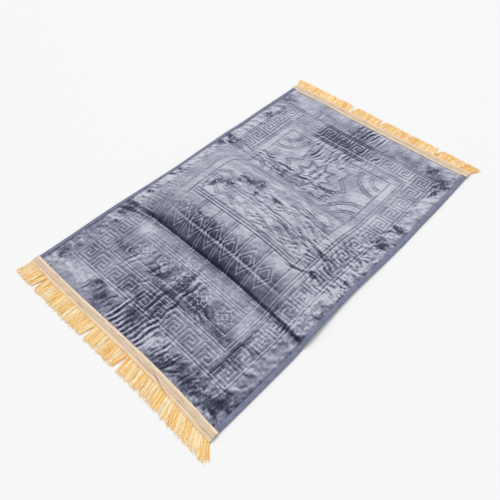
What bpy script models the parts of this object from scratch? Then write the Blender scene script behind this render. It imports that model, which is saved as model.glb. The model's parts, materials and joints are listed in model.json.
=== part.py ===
"""A velvet prayer rug laid out on the floor, with one high fold across it.

The rug is a pressed velvet panel with a woven binding round each long edge, and at each
end a woven heading tape over the roots of a fringe. Everything starts from the flat cloth:
u runs across it from the left edge, and v along it from the near tape. The fold lifts the
cloth, and because cloth doesn't stretch, it also draws it together in plan.
"""

import math
import random

import bmesh
import bpy
import numpy as np

MM = 0.001

# The flat cloth
CLOTH_WIDTH = 712 * MM
CLOTH_LENGTH = 1104 * MM  # between the inner edges of the two tapes
PILE_THICKNESS = 3.0 * MM
SEWN_THICKNESS = 2.2 * MM  # where stitches press the pile under a trim
GAP = 0.3 * MM  # between any two pieces

# The binding, a strip folded round each long edge
BINDING_WIDTH = 11 * MM
BINDING_THICKNESS = 1.0 * MM

# The heading tape, and what lies under it
TAPE_WIDTH = 28 * MM
TAPE_THICKNESS = 1.2 * MM
TUCK = 16 * MM  # cloth under the tape
STRIP_START = 17 * MM  # the fringe's backing strip, from the tape's inner edge
STRIP_END = 27 * MM
STRIP_HEIGHT = SEWN_THICKNESS

# The fringe
LOCKS = 92  # at each end
LOCK_HALF_WIDTH = 3.0 * MM
LOCK_TIP_SHARE = 0.6  # of the half width
LOCK_TOP_SHARE = 0.8  # the upper side is narrower than the one on the floor
LOCK_JITTER = 1.3 * MM  # how far a tip may stray sideways
LENGTH_JITTER = 2.0 * MM
# Part of a lock's length, and its height there
LOCK_SECTIONS = ((0.32, 2.6 * MM), (0.68, 2.2 * MM), (1.0, 1.3 * MM))

# The fold: a steep wall behind a sharp crease, rolling over into a broad hump
CREASE_V = 307 * MM
CREASE_SLANT = 18 * MM  # the crease's right end lies this much nearer
CREASE_SLANT_FROM = 480 * MM
RIDGE_HEIGHT = 44 * MM
RIDGE_ROLL = 54 * MM
RIDGE_LEFT = (-10 * MM, 150 * MM)  # u between which it rises from the left edge
RIDGE_RIGHT = (380 * MM, 700 * MM)  # u between which it dies away
RIDGE_RIGHT_SHARE = 0.95
RIDGE_END = (600 * MM, 725 * MM)  # v between which it comes back to the floor
HUMP_HEIGHT = 14 * MM
HUMP_WIDTH = 620 * MM
HUMP_END = 725 * MM
# The right edge lifts a little behind the crease
EDGE_WAVE_HEIGHT = 8 * MM
EDGE_WAVE_PEAK = 40 * MM
EDGE_WAVE_FROM = 560 * MM
# A low storage fold runs lengthwise near both ends
CENTRE_FOLD_U = 352 * MM
CENTRE_FOLD_HEIGHT = 1.6 * MM
CENTRE_FOLD_HALF = 15 * MM
CENTRE_FOLD_NEAR = (15 * MM, 60 * MM, 200 * MM, 260 * MM)  # v: starts, full, fades, ends
CENTRE_FOLD_FAR = (860 * MM, 920 * MM, 1040 * MM, 1090 * MM)

# The outline as it lies, in mm: distance along, left edge, right edge
OUTLINE = (
    (-20, -4.0, 704.5),
    (80, -4.0, 707.0),
    (245, -6.5, 710.0),
    (320, -4.5, 706.5),
    (380, -1.5, 704.0),
    (500, 0.5, 702.5),
    (620, -2.5, 707.0),
    (720, -5.5, 709.5),
    (790, -2.5, 708.0),
    (900, -4.5, 708.0),
    (1040, -4.0, 705.0),
    (1120, -5.5, 702.5),
)
# The tapes' inner edges as they lie, in mm: distance across, distance along
NEAR_TAPE = ((0, -1), (120, -1), (250, 2), (350, 5), (450, 7), (520, 7), (600, 5), (700, 0))
FAR_TAPE = (
    (0, 1079),
    (45, 1075),
    (100, 1077),
    (140, 1080),
    (190, 1075),
    (260, 1072),
    (400, 1070.5),
    (560, 1069),
    (640, 1069.5),
    (700, 1071),
)
# The tips of the fringe, in mm: distance across, distance along, sideways lean
NEAR_TIPS = (
    (0, -72, -3),
    (120, -71, 0),
    (300, -67, 0),
    (420, -64, 2),
    (520, -62, 9),
    (600, -63, 20),
    (700, -65, 25),
)
FAR_TIPS = (
    (0, 1145, -17),
    (100, 1144, -14),
    (230, 1142, -6),
    (330, 1140, 0),
    (560, 1136, 2),
    (640, 1135, 7),
    (700, 1134, 17),
)
# Where the fringe parts, in mm: distance across
NEAR_NOTCHES = (75, 293, 417)
FAR_NOTCHES = (243, 357, 576)
NOTCH_PUSH = 4 * MM
NOTCH_REACH = 25 * MM

# Grid lines of the modelled cloth, in mm: from, to, number of steps
ACROSS_STEPS = (
    (0, 12, 1),
    (12, 20, 1),
    (20, 45, 1),
    (45, 185, 6),
    (185, 337, 6),
    (337, 367, 2),
    (367, 667, 11),
    (667, 692, 1),
    (692, 700, 1),
    (700, 712, 1),
)
ALONG_STEPS = (
    (-16, 2, 1),
    (2, 10, 1),
    (10, 60, 1),
    (60, 200, 2),
    (200, 295, 3),
    (295, 307, 2),
    (307, 331, 5),
    (331, 367, 4),
    (367, 487, 6),
    (487, 607, 4),
    (607, 735, 9),
    (735, 860, 3),
    (860, 1040, 3),
    (1040, 1094, 2),
    (1094, 1102, 1),
    (1102, 1120, 1),
)
FINE_STEP = 2 * MM
SMOOTHING = np.linspace(-30, 30, 13) * MM


def ease(low, high, value):
    """0 below low, 1 above high, and a smooth step between."""
    t = np.clip((value - low) / (high - low), 0, 1)
    return t * t * (3 - 2 * t)


def between(bounds, value):
    """A smooth hump that starts, is full, fades and ends at the four bounds."""
    return ease(bounds[0], bounds[1], value) * (1 - ease(bounds[2], bounds[3], value))


def read_table(table, column, place):
    """A column of a table in mm at a place in metres, with its corners rounded."""
    rows = np.array(table, float) * MM
    spread = [np.interp(place + d, rows[:, 0], rows[:, column]) for d in SMOOTHING]
    return np.mean(spread, axis=0)


def crease_line(u):
    return CREASE_V - CREASE_SLANT * ease(CREASE_SLANT_FROM, 700 * MM, u)


def ridge(u, past_crease, v):
    rise = ease(*RIDGE_LEFT, u) * (1 - RIDGE_RIGHT_SHARE * ease(*RIDGE_RIGHT, u))
    roll = 1 - np.exp(-past_crease / RIDGE_ROLL)
    return RIDGE_HEIGHT * rise * roll * (1 - ease(*RIDGE_END, v))


def hump(u, v):
    along = np.clip((v - CREASE_V) / (HUMP_END - CREASE_V), 0, 1)
    across = np.clip(u / HUMP_WIDTH, 0, 1)
    return HUMP_HEIGHT * np.sin(math.pi * along) * np.sin(math.pi * across)


def edge_wave(u, past_crease):
    t = past_crease / EDGE_WAVE_PEAK
    return EDGE_WAVE_HEIGHT * ease(EDGE_WAVE_FROM, CLOTH_WIDTH, u) * t * np.exp(1 - t)


def centre_fold(u, v):
    side = 1 - ease(0, CENTRE_FOLD_HALF, abs(u - CENTRE_FOLD_U))
    return CENTRE_FOLD_HEIGHT * side * (between(CENTRE_FOLD_NEAR, v) + between(CENTRE_FOLD_FAR, v))


def binding_lift(from_edge):
    """The cloth's edge stands on the binding's lower leg."""
    return (BINDING_THICKNESS + GAP) * (1 - ease(12 * MM, 45 * MM, from_edge))


def fold_height(u, v):
    """The height of the cloth's underside over the floor."""
    past_crease = np.maximum(v - crease_line(u), 0)
    from_edge = np.minimum(u, CLOTH_WIDTH - u)
    folds = ridge(u, past_crease, v) + hump(u, v) + edge_wave(u, past_crease)
    return folds + centre_fold(u, v) + binding_lift(from_edge)


def running_length(height, steps, axis):
    """How far the cloth reaches in plan, when each fine step keeps its own length."""
    rise = np.diff(height, axis=axis)
    plan = np.sqrt(np.maximum(steps**2 - rise**2, (0.2 * steps) ** 2))
    total = np.cumsum(plan, axis=axis)
    return np.insert(total, 0, 0, axis=axis)


class Surface:
    """The cloth's underside as it lies, ready to be looked up at any (u, v)."""

    def __init__(self):
        self.u = np.linspace(0, CLOTH_WIDTH, round(CLOTH_WIDTH / FINE_STEP) + 1)
        self.v = np.linspace(0, CLOTH_LENGTH, round(CLOTH_LENGTH / FINE_STEP) + 1)
        u, v = np.meshgrid(self.u, self.v, indexing="ij")
        z = fold_height(u, v)
        across = running_length(z, np.diff(self.u)[:, None], 0)
        along = running_length(z, np.diff(self.v)[None, :], 1)
        far_end = read_table(((0, 1079), (300, 1071), (712, 1070)), 1, u)
        y = along / along[:, -1:] * far_end
        left = read_table(OUTLINE, 1, y)
        right = read_table(OUTLINE, 2, y)
        x = left + (right - left) * across / across[-1:]
        self.points = np.stack([x, y, z], axis=-1)
        self.normals = self.find_normals()

    def find_normals(self):
        across = np.gradient(self.points, axis=0)
        along = np.gradient(self.points, axis=1)
        normal = np.cross(across, along)
        return normal / np.linalg.norm(normal, axis=-1, keepdims=True)

    def look_up(self, grid, u, v):
        i = np.clip(u / CLOTH_WIDTH * (len(self.u) - 1), 0, len(self.u) - 1.001)
        j = np.clip(v / CLOTH_LENGTH * (len(self.v) - 1), 0, len(self.v) - 1.001)
        i0 = np.floor(i).astype(int)
        j0 = np.floor(j).astype(int)
        a = (i - i0)[..., None]
        b = (j - j0)[..., None]
        near = grid[i0, j0] * (1 - a) + grid[i0 + 1, j0] * a
        far = grid[i0, j0 + 1] * (1 - a) + grid[i0 + 1, j0 + 1] * a
        return near * (1 - b) + far * b

    def point(self, u, v):
        """The place of (u, v), also on the level tails under the tapes."""
        place = self.look_up(self.points, u, v)
        place[..., 1] += np.minimum(v, 0) + np.maximum(v - CLOTH_LENGTH, 0)
        return place

    def normal(self, u, v):
        found = self.look_up(self.normals, u, v)
        tail = (v < 0) | (v > CLOTH_LENGTH)
        return np.where(tail[..., None], (0.0, 0.0, 1.0), found)


def grid_lines(table):
    lines = [table[0][0]]
    for start, end, steps in table:
        lines += [start + (end - start) * (k + 1) / steps for k in range(steps)]
    return np.array(lines, float) * MM


def cloth_grid(surface):
    """u and v of the modelled grid: its lines follow the crease and the two tapes."""
    u, v = np.meshgrid(grid_lines(ACROSS_STEPS), grid_lines(ALONG_STEPS), indexing="ij")
    middle = between((60 * MM, CREASE_V, CREASE_V, 600 * MM), v)
    bent = v + (crease_line(u) - CREASE_V) * middle
    x = surface.point(u, np.clip(v, 0, CLOTH_LENGTH))[..., 0]
    near = read_table(NEAR_TAPE, 1, x)
    far = read_table(FAR_TAPE, 1, x) - surface.point(u, np.full_like(u, CLOTH_LENGTH))[..., 1]
    bent += near * (1 - ease(20 * MM, 60 * MM, v))
    bent += far * ease(CLOTH_LENGTH - 60 * MM, CLOTH_LENGTH - 20 * MM, v)
    return u, v, bent


def cloth_thickness(u, v):
    """Full pile in the field, pressed flat under the bindings and the tapes."""
    from_edge = np.minimum(u, CLOTH_WIDTH - u)
    from_end = np.minimum(v, CLOTH_LENGTH - v)
    field = ease(12 * MM, 20 * MM, from_edge) * ease(2 * MM, 10 * MM, from_end)
    return SEWN_THICKNESS + (PILE_THICKNESS - SEWN_THICKNESS) * field


def new_object(name, points, faces, material):
    mesh = bpy.data.meshes.new(name)
    mesh.from_pydata([tuple(p) for p in points], [], faces)
    mesh.materials.append(material)
    shape = bmesh.new()
    shape.from_mesh(mesh)
    bmesh.ops.recalc_face_normals(shape, faces=shape.faces)
    shape.to_mesh(mesh)
    shape.free()
    mesh.shade_smooth()
    mesh.set_sharp_from_angle(angle=math.radians(40))
    made = bpy.data.objects.new(name, mesh)
    bpy.context.scene.collection.objects.link(made)
    return made


def closed_sheet(name, lower, upper, material):
    """A solid between two grids of points, closed round its rim."""
    rows, columns = lower.shape[:2]
    size = rows * columns
    index = np.arange(size).reshape(rows, columns)
    faces = []
    for i in range(rows - 1):
        for j in range(columns - 1):
            quad = (index[i, j], index[i + 1, j], index[i + 1, j + 1], index[i, j + 1])
            faces.append(tuple(int(k) + size for k in quad))
            faces.append(tuple(int(k) for k in reversed(quad)))
    rim = [*index[:, 0], *index[-1, 1:], *index[-2::-1, -1], *index[0, -2:0:-1]]
    for a, b in zip(rim, rim[1:] + rim[:1]):
        faces.append((int(a), int(b), int(b) + size, int(a) + size))
    points = np.concatenate([lower.reshape(-1, 3), upper.reshape(-1, 3)])
    return new_object(name, points, faces, material)


def swept_strip(name, sections, material):
    """A solid through a row of closed sections, with a cap on each end."""
    stations, corners = sections.shape[:2]
    faces = [tuple(range(corners)), tuple(range((stations - 1) * corners, stations * corners))]
    for i in range(stations - 1):
        for k in range(corners):
            after = (k + 1) % corners
            start = i * corners
            faces.append((start + k, start + after, start + corners + after, start + corners + k))
    return new_object(name, sections.reshape(-1, 3), faces, material)


def add_cloth(surface, material):
    u, even, bent = cloth_grid(surface)
    lower = surface.point(u, bent)
    upper = lower + surface.normal(u, bent) * cloth_thickness(u, even)[..., None]
    return closed_sheet("pile_cloth", lower, upper, material)


def binding_profile():
    """Points of the folded strip: distance in from the cloth's edge, and height over its underside."""
    inner = GAP
    outer = GAP + BINDING_THICKNESS
    top = SEWN_THICKNESS
    soft = 0.6 * MM  # the outer fold is rounded
    return (
        (BINDING_WIDTH, -outer),
        (soft - outer, -outer),
        (-outer, soft - outer),
        (-outer, top + outer - soft),
        (soft - outer, top + outer),
        (BINDING_WIDTH, top + outer),
        (BINDING_WIDTH, top + inner),
        (-inner, top + inner),
        (-inner, -inner),
        (BINDING_WIDTH, -inner),
    )


def add_binding(name, surface, column, material):
    """The strip round one long edge; column is the cloth grid's first or last line."""
    u, even, bent = cloth_grid(surface)
    inside = 1 if column == 0 else -2
    edge = surface.point(u[column], bent[column])
    inward = surface.point(u[inside], bent[column]) - edge
    inward /= np.linalg.norm(inward, axis=-1, keepdims=True)
    along = np.gradient(edge, axis=0)
    up = np.cross(inward, along)
    up *= np.sign(up[:, 2:])
    up /= np.linalg.norm(up, axis=-1, keepdims=True)
    profile = np.array(binding_profile())
    sections = edge[:, None] + profile[None, :, :1] * inward[:, None] + profile[None, :, 1:] * up[:, None]
    return swept_strip(name, sections, material)


def tape_bed(from_end):
    """The height of what the tape lies on, at a distance from the cloth's long edge."""
    over_binding = (BINDING_THICKNESS + GAP) * (1 - ease(12 * MM, 20 * MM, from_end))
    return SEWN_THICKNESS + binding_lift(from_end) + over_binding


def end_places(line, y_guess):
    """Places across one end: the cloth's own grid lines, and the trims' two outer ends."""
    proud = BINDING_THICKNESS + GAP
    left = read_table(OUTLINE, 1, y_guess)
    right = read_table(OUTLINE, 2, y_guess)
    share = grid_lines(ACROSS_STEPS) / CLOTH_WIDTH
    x = left + (right - left) * share
    x[0] -= proud
    x[-1] += proud
    return x, read_table(line, 1, x)


def add_tape(name, line, outward, y_guess, material):
    """A woven tape from its inner edge out to the fringe's roots; outward is -1 or 1."""
    x, inner_y = end_places(line, y_guess)
    u = grid_lines(ACROSS_STEPS)
    from_end = np.minimum(u, CLOTH_WIDTH - u)
    high = tape_bed(from_end) + GAP
    low = np.full_like(high, STRIP_HEIGHT + GAP)
    reach = (0, STRIP_START, STRIP_START + 6 * MM, TAPE_WIDTH)
    lower = np.empty((len(x), len(reach), 3))
    for k, (distance, height) in enumerate(zip(reach, (high, high, low, low))):
        lower[:, k] = np.stack([x, inner_y + outward * distance, height], axis=-1)
    upper = lower + (0, 0, TAPE_THICKNESS)
    return closed_sheet(name, lower, upper, material)


def notch_push(x, notches):
    """How far a tip at x is pushed aside by the partings of the fringe."""
    push = np.zeros_like(x)
    for place in notches:
        away = x - place * MM
        push += np.sign(away) * NOTCH_PUSH * np.exp(-abs(away) / NOTCH_REACH)
    return push


def lock_sections(root_x, root_y, tip_x, tip_y, strays):
    """The three sections of one lock beyond its root, each four points on or over the floor."""
    made = []
    for share, height in LOCK_SECTIONS:
        x = root_x + (tip_x - root_x) * share**1.25 + strays * share
        y = root_y + (tip_y - root_y) * share
        half = LOCK_HALF_WIDTH * (1 - (1 - LOCK_TIP_SHARE) * share)
        top = half * LOCK_TOP_SHARE
        made.append([(x - half, y, 0), (x + half, y, 0), (x + top, y, height), (x - top, y, height)])
    return made


def add_fringe(name, line, tips, notches, outward, y_guess, seed, material):
    """A backing strip under the tape with locks growing out of its outer face, as one body."""
    rolls = random.Random(seed)
    ends = end_places(line, y_guess)[0][[0, -1]]
    edges = np.linspace(ends[0], ends[1], LOCKS + 1)
    middles = (edges[1:] + edges[:-1]) / 2
    tip_y = read_table(tips, 1, middles)
    tip_x = middles + read_table(tips, 2, middles) + notch_push(middles, notches)
    points = []
    faces = []

    def add(point):
        points.append(point)
        return len(points) - 1

    def column(x, distance):
        y = float(read_table(line, 1, np.array(x))) + outward * distance
        return add((x, y, 0)), add((x, y, STRIP_HEIGHT))

    back = [column(x, STRIP_START) for x in edges]
    first = column(edges[0], STRIP_END)
    before = first
    for k, x in enumerate(middles):
        left = column(x - LOCK_HALF_WIDTH, STRIP_END)
        right = column(x + LOCK_HALF_WIDTH, STRIP_END)
        faces.append((before[0], left[0], left[1], before[1]))
        after = column(edges[k + 1], STRIP_END)
        for level in (0, 1):
            faces.append((back[k][level], before[level], left[level], right[level]))
            faces.append((back[k][level], right[level], back[k + 1][level]))
            faces.append((right[level], after[level], back[k + 1][level]))
        faces.append((right[0], after[0], after[1], right[1]))
        faces.append((back[k][0], back[k + 1][0], back[k + 1][1], back[k][1]))
        root = (left[0], right[0], right[1], left[1])
        stray = rolls.uniform(-LOCK_JITTER, LOCK_JITTER)
        reach = tip_y[k] + rolls.uniform(-LENGTH_JITTER, LENGTH_JITTER)
        root_y = points[left[0]][1]
        for section in lock_sections(x, root_y, tip_x[k], reach, stray):
            ring = [add(point) for point in section]
            for a in range(4):
                b = (a + 1) % 4
                faces.append((root[a], root[b], ring[b], ring[a]))
            root = ring
        faces.append(tuple(root))
        before = after
    faces.append((back[0][0], first[0], first[1], back[0][1]))
    faces.append((back[-1][0], before[0], before[1], back[-1][1]))
    return new_object(name, points, faces, material)


def cloth_material(name, colour, roughness, sheen):
    material = bpy.data.materials.new(name)
    material.use_nodes = True
    shader = material.node_tree.nodes["Principled BSDF"]
    shader.inputs["Base Color"].default_value = (*colour, 1)
    shader.inputs["Roughness"].default_value = roughness
    shader.inputs["Metallic"].default_value = 0
    shader.inputs["Sheen Weight"].default_value = sheen
    material.diffuse_color = (*colour, 1)
    return material


def stand_on_origin(pieces):
    """Moves all pieces together, so that the origin is the middle of their base."""
    corners = [corner for piece in pieces for corner in (v.co for v in piece.data.vertices)]
    low = [min(c[k] for c in corners) for k in range(3)]
    high = [max(c[k] for c in corners) for k in range(3)]
    shift = (-(low[0] + high[0]) / 2, -(low[1] + high[1]) / 2, 0)
    for piece in pieces:
        for vertex in piece.data.vertices:
            vertex.co.x += shift[0]
            vertex.co.y += shift[1]


def build():
    for old in list(bpy.data.objects):
        bpy.data.objects.remove(old, do_unlink=True)
    velvet = cloth_material("velvet", (0.20, 0.21, 0.28), 0.8, 0.6)
    binding = cloth_material("binding", (0.17, 0.19, 0.27), 0.85, 0.1)
    tape = cloth_material("tape", (0.70, 0.55, 0.33), 0.75, 0.2)
    yarn = cloth_material("fringe", (0.84, 0.50, 0.14), 0.6, 0.2)
    surface = Surface()
    far = CLOTH_LENGTH - 28 * MM
    pieces = [
        add_cloth(surface, velvet),
        add_binding("binding_left", surface, 0, binding),
        add_binding("binding_right", surface, -1, binding),
        add_tape("tape_near", NEAR_TAPE, -1, 0.0, tape),
        add_tape("tape_far", FAR_TAPE, 1, far, tape),
        add_fringe("fringe_near", NEAR_TAPE, NEAR_TIPS, NEAR_NOTCHES, -1, 0.0, 3, yarn),
        add_fringe("fringe_far", FAR_TAPE, FAR_TIPS, FAR_NOTCHES, 1, far, 5, yarn),
    ]
    stand_on_origin(pieces)


build()
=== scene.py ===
"""The looks of the velvet prayer rug: pressed pile, wrinkles, bindings, tapes and fringe.

Like the solids, everything starts from the flat cloth: u runs across it from the left
edge and v along it from the near tape. Lengths with MM beside them are in metres, and
bare ones are in mm, as in the pattern and the tables.
"""

import json
import math
import random
from collections import namedtuple

import bpy
import numpy as np
from mathutils import Matrix, Vector

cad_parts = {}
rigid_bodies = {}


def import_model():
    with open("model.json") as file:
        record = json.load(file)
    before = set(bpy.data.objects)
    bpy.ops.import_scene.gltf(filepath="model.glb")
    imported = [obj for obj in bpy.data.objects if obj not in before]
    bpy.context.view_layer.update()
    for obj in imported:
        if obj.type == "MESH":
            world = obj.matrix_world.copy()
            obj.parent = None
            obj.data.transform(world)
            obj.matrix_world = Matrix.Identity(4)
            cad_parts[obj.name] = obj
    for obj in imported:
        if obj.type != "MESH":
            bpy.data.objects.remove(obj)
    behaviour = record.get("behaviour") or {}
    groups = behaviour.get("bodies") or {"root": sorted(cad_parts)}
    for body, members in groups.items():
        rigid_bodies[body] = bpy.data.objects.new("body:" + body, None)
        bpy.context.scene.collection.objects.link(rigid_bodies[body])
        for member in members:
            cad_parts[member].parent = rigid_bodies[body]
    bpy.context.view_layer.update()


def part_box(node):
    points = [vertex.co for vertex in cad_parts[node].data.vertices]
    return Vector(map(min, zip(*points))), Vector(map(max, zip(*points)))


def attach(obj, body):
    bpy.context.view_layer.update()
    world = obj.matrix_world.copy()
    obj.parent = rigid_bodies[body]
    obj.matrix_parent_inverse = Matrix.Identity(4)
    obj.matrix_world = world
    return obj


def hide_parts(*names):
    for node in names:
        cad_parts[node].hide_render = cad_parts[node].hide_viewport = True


MM = 0.001

# ---- The cloth as it lies and the trims' sizes, most of them the solids' own ----
CLOTH_WIDTH = 712 * MM
CLOTH_LENGTH = 1104 * MM
PILE_THICKNESS = 3.0 * MM
SEWN_THICKNESS = 2.2 * MM
GAP = 0.3 * MM
BINDING_WIDTH = 11 * MM
BINDING_THICKNESS = 1.0 * MM
BINDING_LIFT_FADE = (12 * MM, 45 * MM)
TAPE_WIDTH = 28 * MM
TAPE_THICKNESS = 1.2 * MM
TUCK = 16 * MM
STRIP_START = 17 * MM
CREASE_V = 307 * MM
CREASE_SLANT = 18 * MM
CREASE_SLANT_SPAN = (480 * MM, 700 * MM)
RIDGE_HEIGHT = 44 * MM
RIDGE_ROLL = 54 * MM
RIDGE_LEFT = (-10 * MM, 150 * MM)
RIDGE_RIGHT = (380 * MM, 700 * MM)
RIDGE_RIGHT_SHARE = 0.95
RIDGE_END = (600 * MM, 725 * MM)
HUMP_HEIGHT = 14 * MM
HUMP_WIDTH = 620 * MM
HUMP_END = 725 * MM
EDGE_WAVE_HEIGHT = 8 * MM
EDGE_WAVE_PEAK = 40 * MM
EDGE_WAVE_FROM = 560 * MM
CENTRE_FOLD_U = 352 * MM
CENTRE_FOLD_HEIGHT = 1.6 * MM
CENTRE_FOLD_HALF = 15 * MM
CENTRE_FOLD_NEAR = (15 * MM, 60 * MM, 200 * MM, 260 * MM)
CENTRE_FOLD_FAR = (860 * MM, 920 * MM, 1040 * MM, 1090 * MM)
TAPE_DRAW_NEAR = (90 * MM, 280 * MM)  # how far in the cloth follows the tapes' bends
TAPE_DRAW_FAR = (CLOTH_LENGTH - 60 * MM, CLOTH_LENGTH - 20 * MM)
OUTLINE = (
    (-20, -4.0, 704.5), (80, -4.0, 707.0), (245, -6.5, 710.0), (320, -4.5, 706.5),
    (380, -1.5, 704.0), (500, 0.5, 702.5), (620, -2.5, 707.0), (720, -5.5, 709.5),
    (790, -2.5, 708.0), (900, -4.5, 708.0), (1040, -4.0, 705.0), (1120, -5.5, 702.5),
)
NEAR_TAPE = ((0, -1), (120, -1), (250, 2), (350, 5), (450, 7), (520, 7), (600, 5), (700, 0))
FAR_TAPE = (
    (0, 1079), (45, 1075), (100, 1077), (140, 1080), (190, 1075), (260, 1072), (400, 1070.5),
    (560, 1069), (640, 1069.5), (700, 1071),
)
FAR_LINE = ((0, 1079), (300, 1071), (712, 1070))
NEAR_TIPS = (
    (0, -72, -3), (120, -71, 0), (300, -67, 0), (420, -64, 2), (520, -62, 9), (600, -63, 20),
    (700, -65, 25),
)
FAR_TIPS = (
    (0, 1145, -17), (100, 1144, -14), (230, 1142, -6), (330, 1140, 0), (560, 1136, 2),
    (640, 1135, 7), (700, 1134, 17),
)
NEAR_NOTCHES = (75, 293, 417)
FAR_NOTCHES = (243, 357, 576)
NOTCH_PUSH = 4 * MM
NOTCH_REACH = 25 * MM
FINE_STEP = 2 * MM
LEAST_PLAN_SHARE = 0.2
SMOOTHING = np.linspace(-30, 30, 13) * MM

# ---- The key border and the grid that carries it, in mm ----
CELL = 11.7
CELLS_A_UNIT = 5
UNIT = CELLS_A_UNIT * CELL
UNITS_ACROSS = 10
UNITS_ALONG = 16
KEY_LEFT = 64
KEY_NEAR = 79
KEY_RIGHT = KEY_LEFT + UNITS_ACROSS * UNIT
KEY_FAR = KEY_NEAR + UNITS_ALONG * UNIT
KEY_BOX = (KEY_LEFT, KEY_NEAR, KEY_RIGHT, KEY_FAR)
KEY_PATH = ((0, 0), (0, 4), (4, 4), (4, 1), (2, 1), (2, 2), (3, 2), (3, 3), (1, 3), (1, 0), (5, 0))
STEP = CELL / 4  # between the grid's lines
FRAME_STEPS = (-3, 21, 24)  # further lines round the border, in grid steps in from its base
LINE_HALF_WIDTH = 1.9
WIDEST_LINE = 1.25 * STEP
FINE_MARGIN = 5 * STEP
COARSE_STEPS = (4.5, 4.6)  # outside the border, across and along
UNDERSIDE_SHARE = 4  # one grid line in so many is kept on the plain underside
CREASE_SPAN = (280, 335)  # along the cloth, where all lines are kept

# ---- A generic design for the field, in mm ----
GUARD_INSET = 26.3
FIELD_INSET = 35
LINE_SPACING = 9
BANDS = ((246.2, 3), (296, 1), (446, 3), (520, 3), (594, 3), (676, 1))  # first line, how many
ZIGZAGS = ((492, 10, 6), (566, 10, 6), (644, 13, 5))  # middle, swing, teeth
LOZENGE_COUNT = 6
LOZENGE_V = 372
LOZENGES = ((25, 44), (14, 24))  # half width, half length
POST_ASIDE = 4.4
POST_SPAN = (300, 442)
STAR_POINTS = 8
STAR_V = 795
STARS = ((118, 0.76), (106, 0.76), (66, 0.6), (56, 0.6), (20, 0.7))  # radius, inner share
SMALL_STAR_COUNT = 5
SMALL_STAR_INSET = 30
SMALL_STAR = (26, 0.72)
SMALL_LOZENGE = 10
FAN_RADII = (40, 49, 76, 85)
FAN_FOOT = 690
FAR_POSTS = (-76, -67, 67, 76)
FAR_POSTS_FROM = 905
FAR_POSTS_PAST = 8

# ---- The pile's lie and the shade painted on its slopes: 0 is darkest and 1 lightest ----
LINE_DEPTH = 1.5 * MM
LEAST_THICKNESS = 0.8 * MM
FIELD_FADE = (12 * MM, 20 * MM)  # from the edges, where the trims press the pile
FIELD_END_FADE = (2 * MM, 10 * MM)
FAR_PART = (400, 450)  # mm along the cloth, where light pressed lines turn dark
# painted shade: how much lighter or darker each slope is painted by the way it faces
SLOPE_SHADE_GAIN = 1.25
SLOPE_SHADE_ACROSS = 0.65
SLOPE_SHADE_ALONG = 0.85
SLOPE_SHADE_LIMITS = (-0.42, 0.36)
LEAST_SPACING = 0.4 * STEP * MM
LINE_SHADE_NEAR = 0.45  # the share of a pressed line's slope that is painted as shade
LINE_SHADE_FAR = 0.75
GROOVE_TONE = 0.55  # of the pile in a pressed line
GROOVE_LIGHTER = 0.48  # in the near part
GROOVE_SHARE = 0.85
LINE_SPREAD = 0.4  # the share that the points beside a line take
DARK_LINES = 0.65  # by how much the lines in the far middle are darker
DARK_LINES_U = (225, 240, 410, 440)
DARK_LINES_V = (925, 950)
NAP_EVEN = 0.85
NAP_NEAR_DARKER = 0.19
NAP_NEAR_PART = (230, 330)
NAP_SWELLS = ((140, 15, 0.03), (85, 16, 0.06))  # size, seed, amount
SEAM_SHADE = (13, 2.5, 0.22)  # painted shade in the seam beside the bindings: from the edge, half width, darker by
CRUSHED_EVEN = 0.25
CRUSHED_NEAR = 0.15
CRUSHED_NEAR_PART = (290, 330)
CRUSHED_MARGIN = 0.5
CRUSHED_MARGIN_FADE = (48, 66)
CRUSHED_LIMIT = 1.1

# ---- The trims' own detail ----
BINDING_STATIONS = 330
BINDING_ACROSS = 12 * MM  # from the edge to the point that gives its slope
BINDING_TURN = 0.8 * MM  # from the cloth's edge to where the strip turns round it
BINDING_TURN_MIDDLE = 0.3 * MM
BINDING_CROWN = 0.25 * MM
BINDING_CROWN_AT = 0.55 * BINDING_WIDTH
BINDING_BEVEL = 0.5 * MM
TAPE_STATIONS = 240
TAPE_LINES = 29
TAPE_OVER_BINDING = (12 * MM, 20 * MM)
TAPE_DROP = 6 * MM
TAPE_SWELL = (45, 0.25)  # mm: size, height
TAPE_RIBS = (4, 0.12)  # mm: spacing, height
TAPE_EDGES = (0, 3, 25, 28)
TAPE_LEAST = 0.2 * TAPE_THICKNESS
# painted shade on the sides of the ribs and puckers that face out
TAPE_SHADE = 0.95
YARNS = 1900
YARN_STATIONS = 8
YARN_CORNERS = 3
YARN_HALF_WIDTH = 1.0 * MM
YARN_HALF_HEIGHT = 0.4 * MM
YARN_TAPER = 0.5
YARN_INSET = 1.5 * MM  # from the tape's ends
YARN_PILE = (0.4, 2.2)  # mm: the lowest yarn's height and how much higher the highest is
YARN_SPREAD_ACROSS = 4.2  # mm, of the tips
YARN_SPREAD_ALONG = 2.6  # mm
YARN_SHORT = 1.0  # mm, by which the tips fall short on average
YARN_PUSH = 2 * NOTCH_PUSH  # so that the partings show
YARN_CALM = 0.75  # how much less the tips spread at a parting
CALM_REACH = 15 * MM
YARN_CURL = 1.2  # mm
YARN_CLUMP = 8  # mm, the size of clumps that share a tone
YARN_TONES = (-0.22, 0.50)  # what each yarn adds of its own
# painted shade: lower yarns darker and higher ones lighter
SHADE_BY_HEIGHT = 0.2
TONE_BY_CLUMP = 0.6
UNDERCOAT_SHARE = 0.26  # of the yarns, lying lowest
UNDERCOAT_WIDTH = 1.8  # times a yarn's width
UNDERCOAT_SHORT = 7 * MM
# the undercoat's tone, painted dark for the shade among the yarns
UNDERCOAT_PAINTED_SHADE = 0.16

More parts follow.
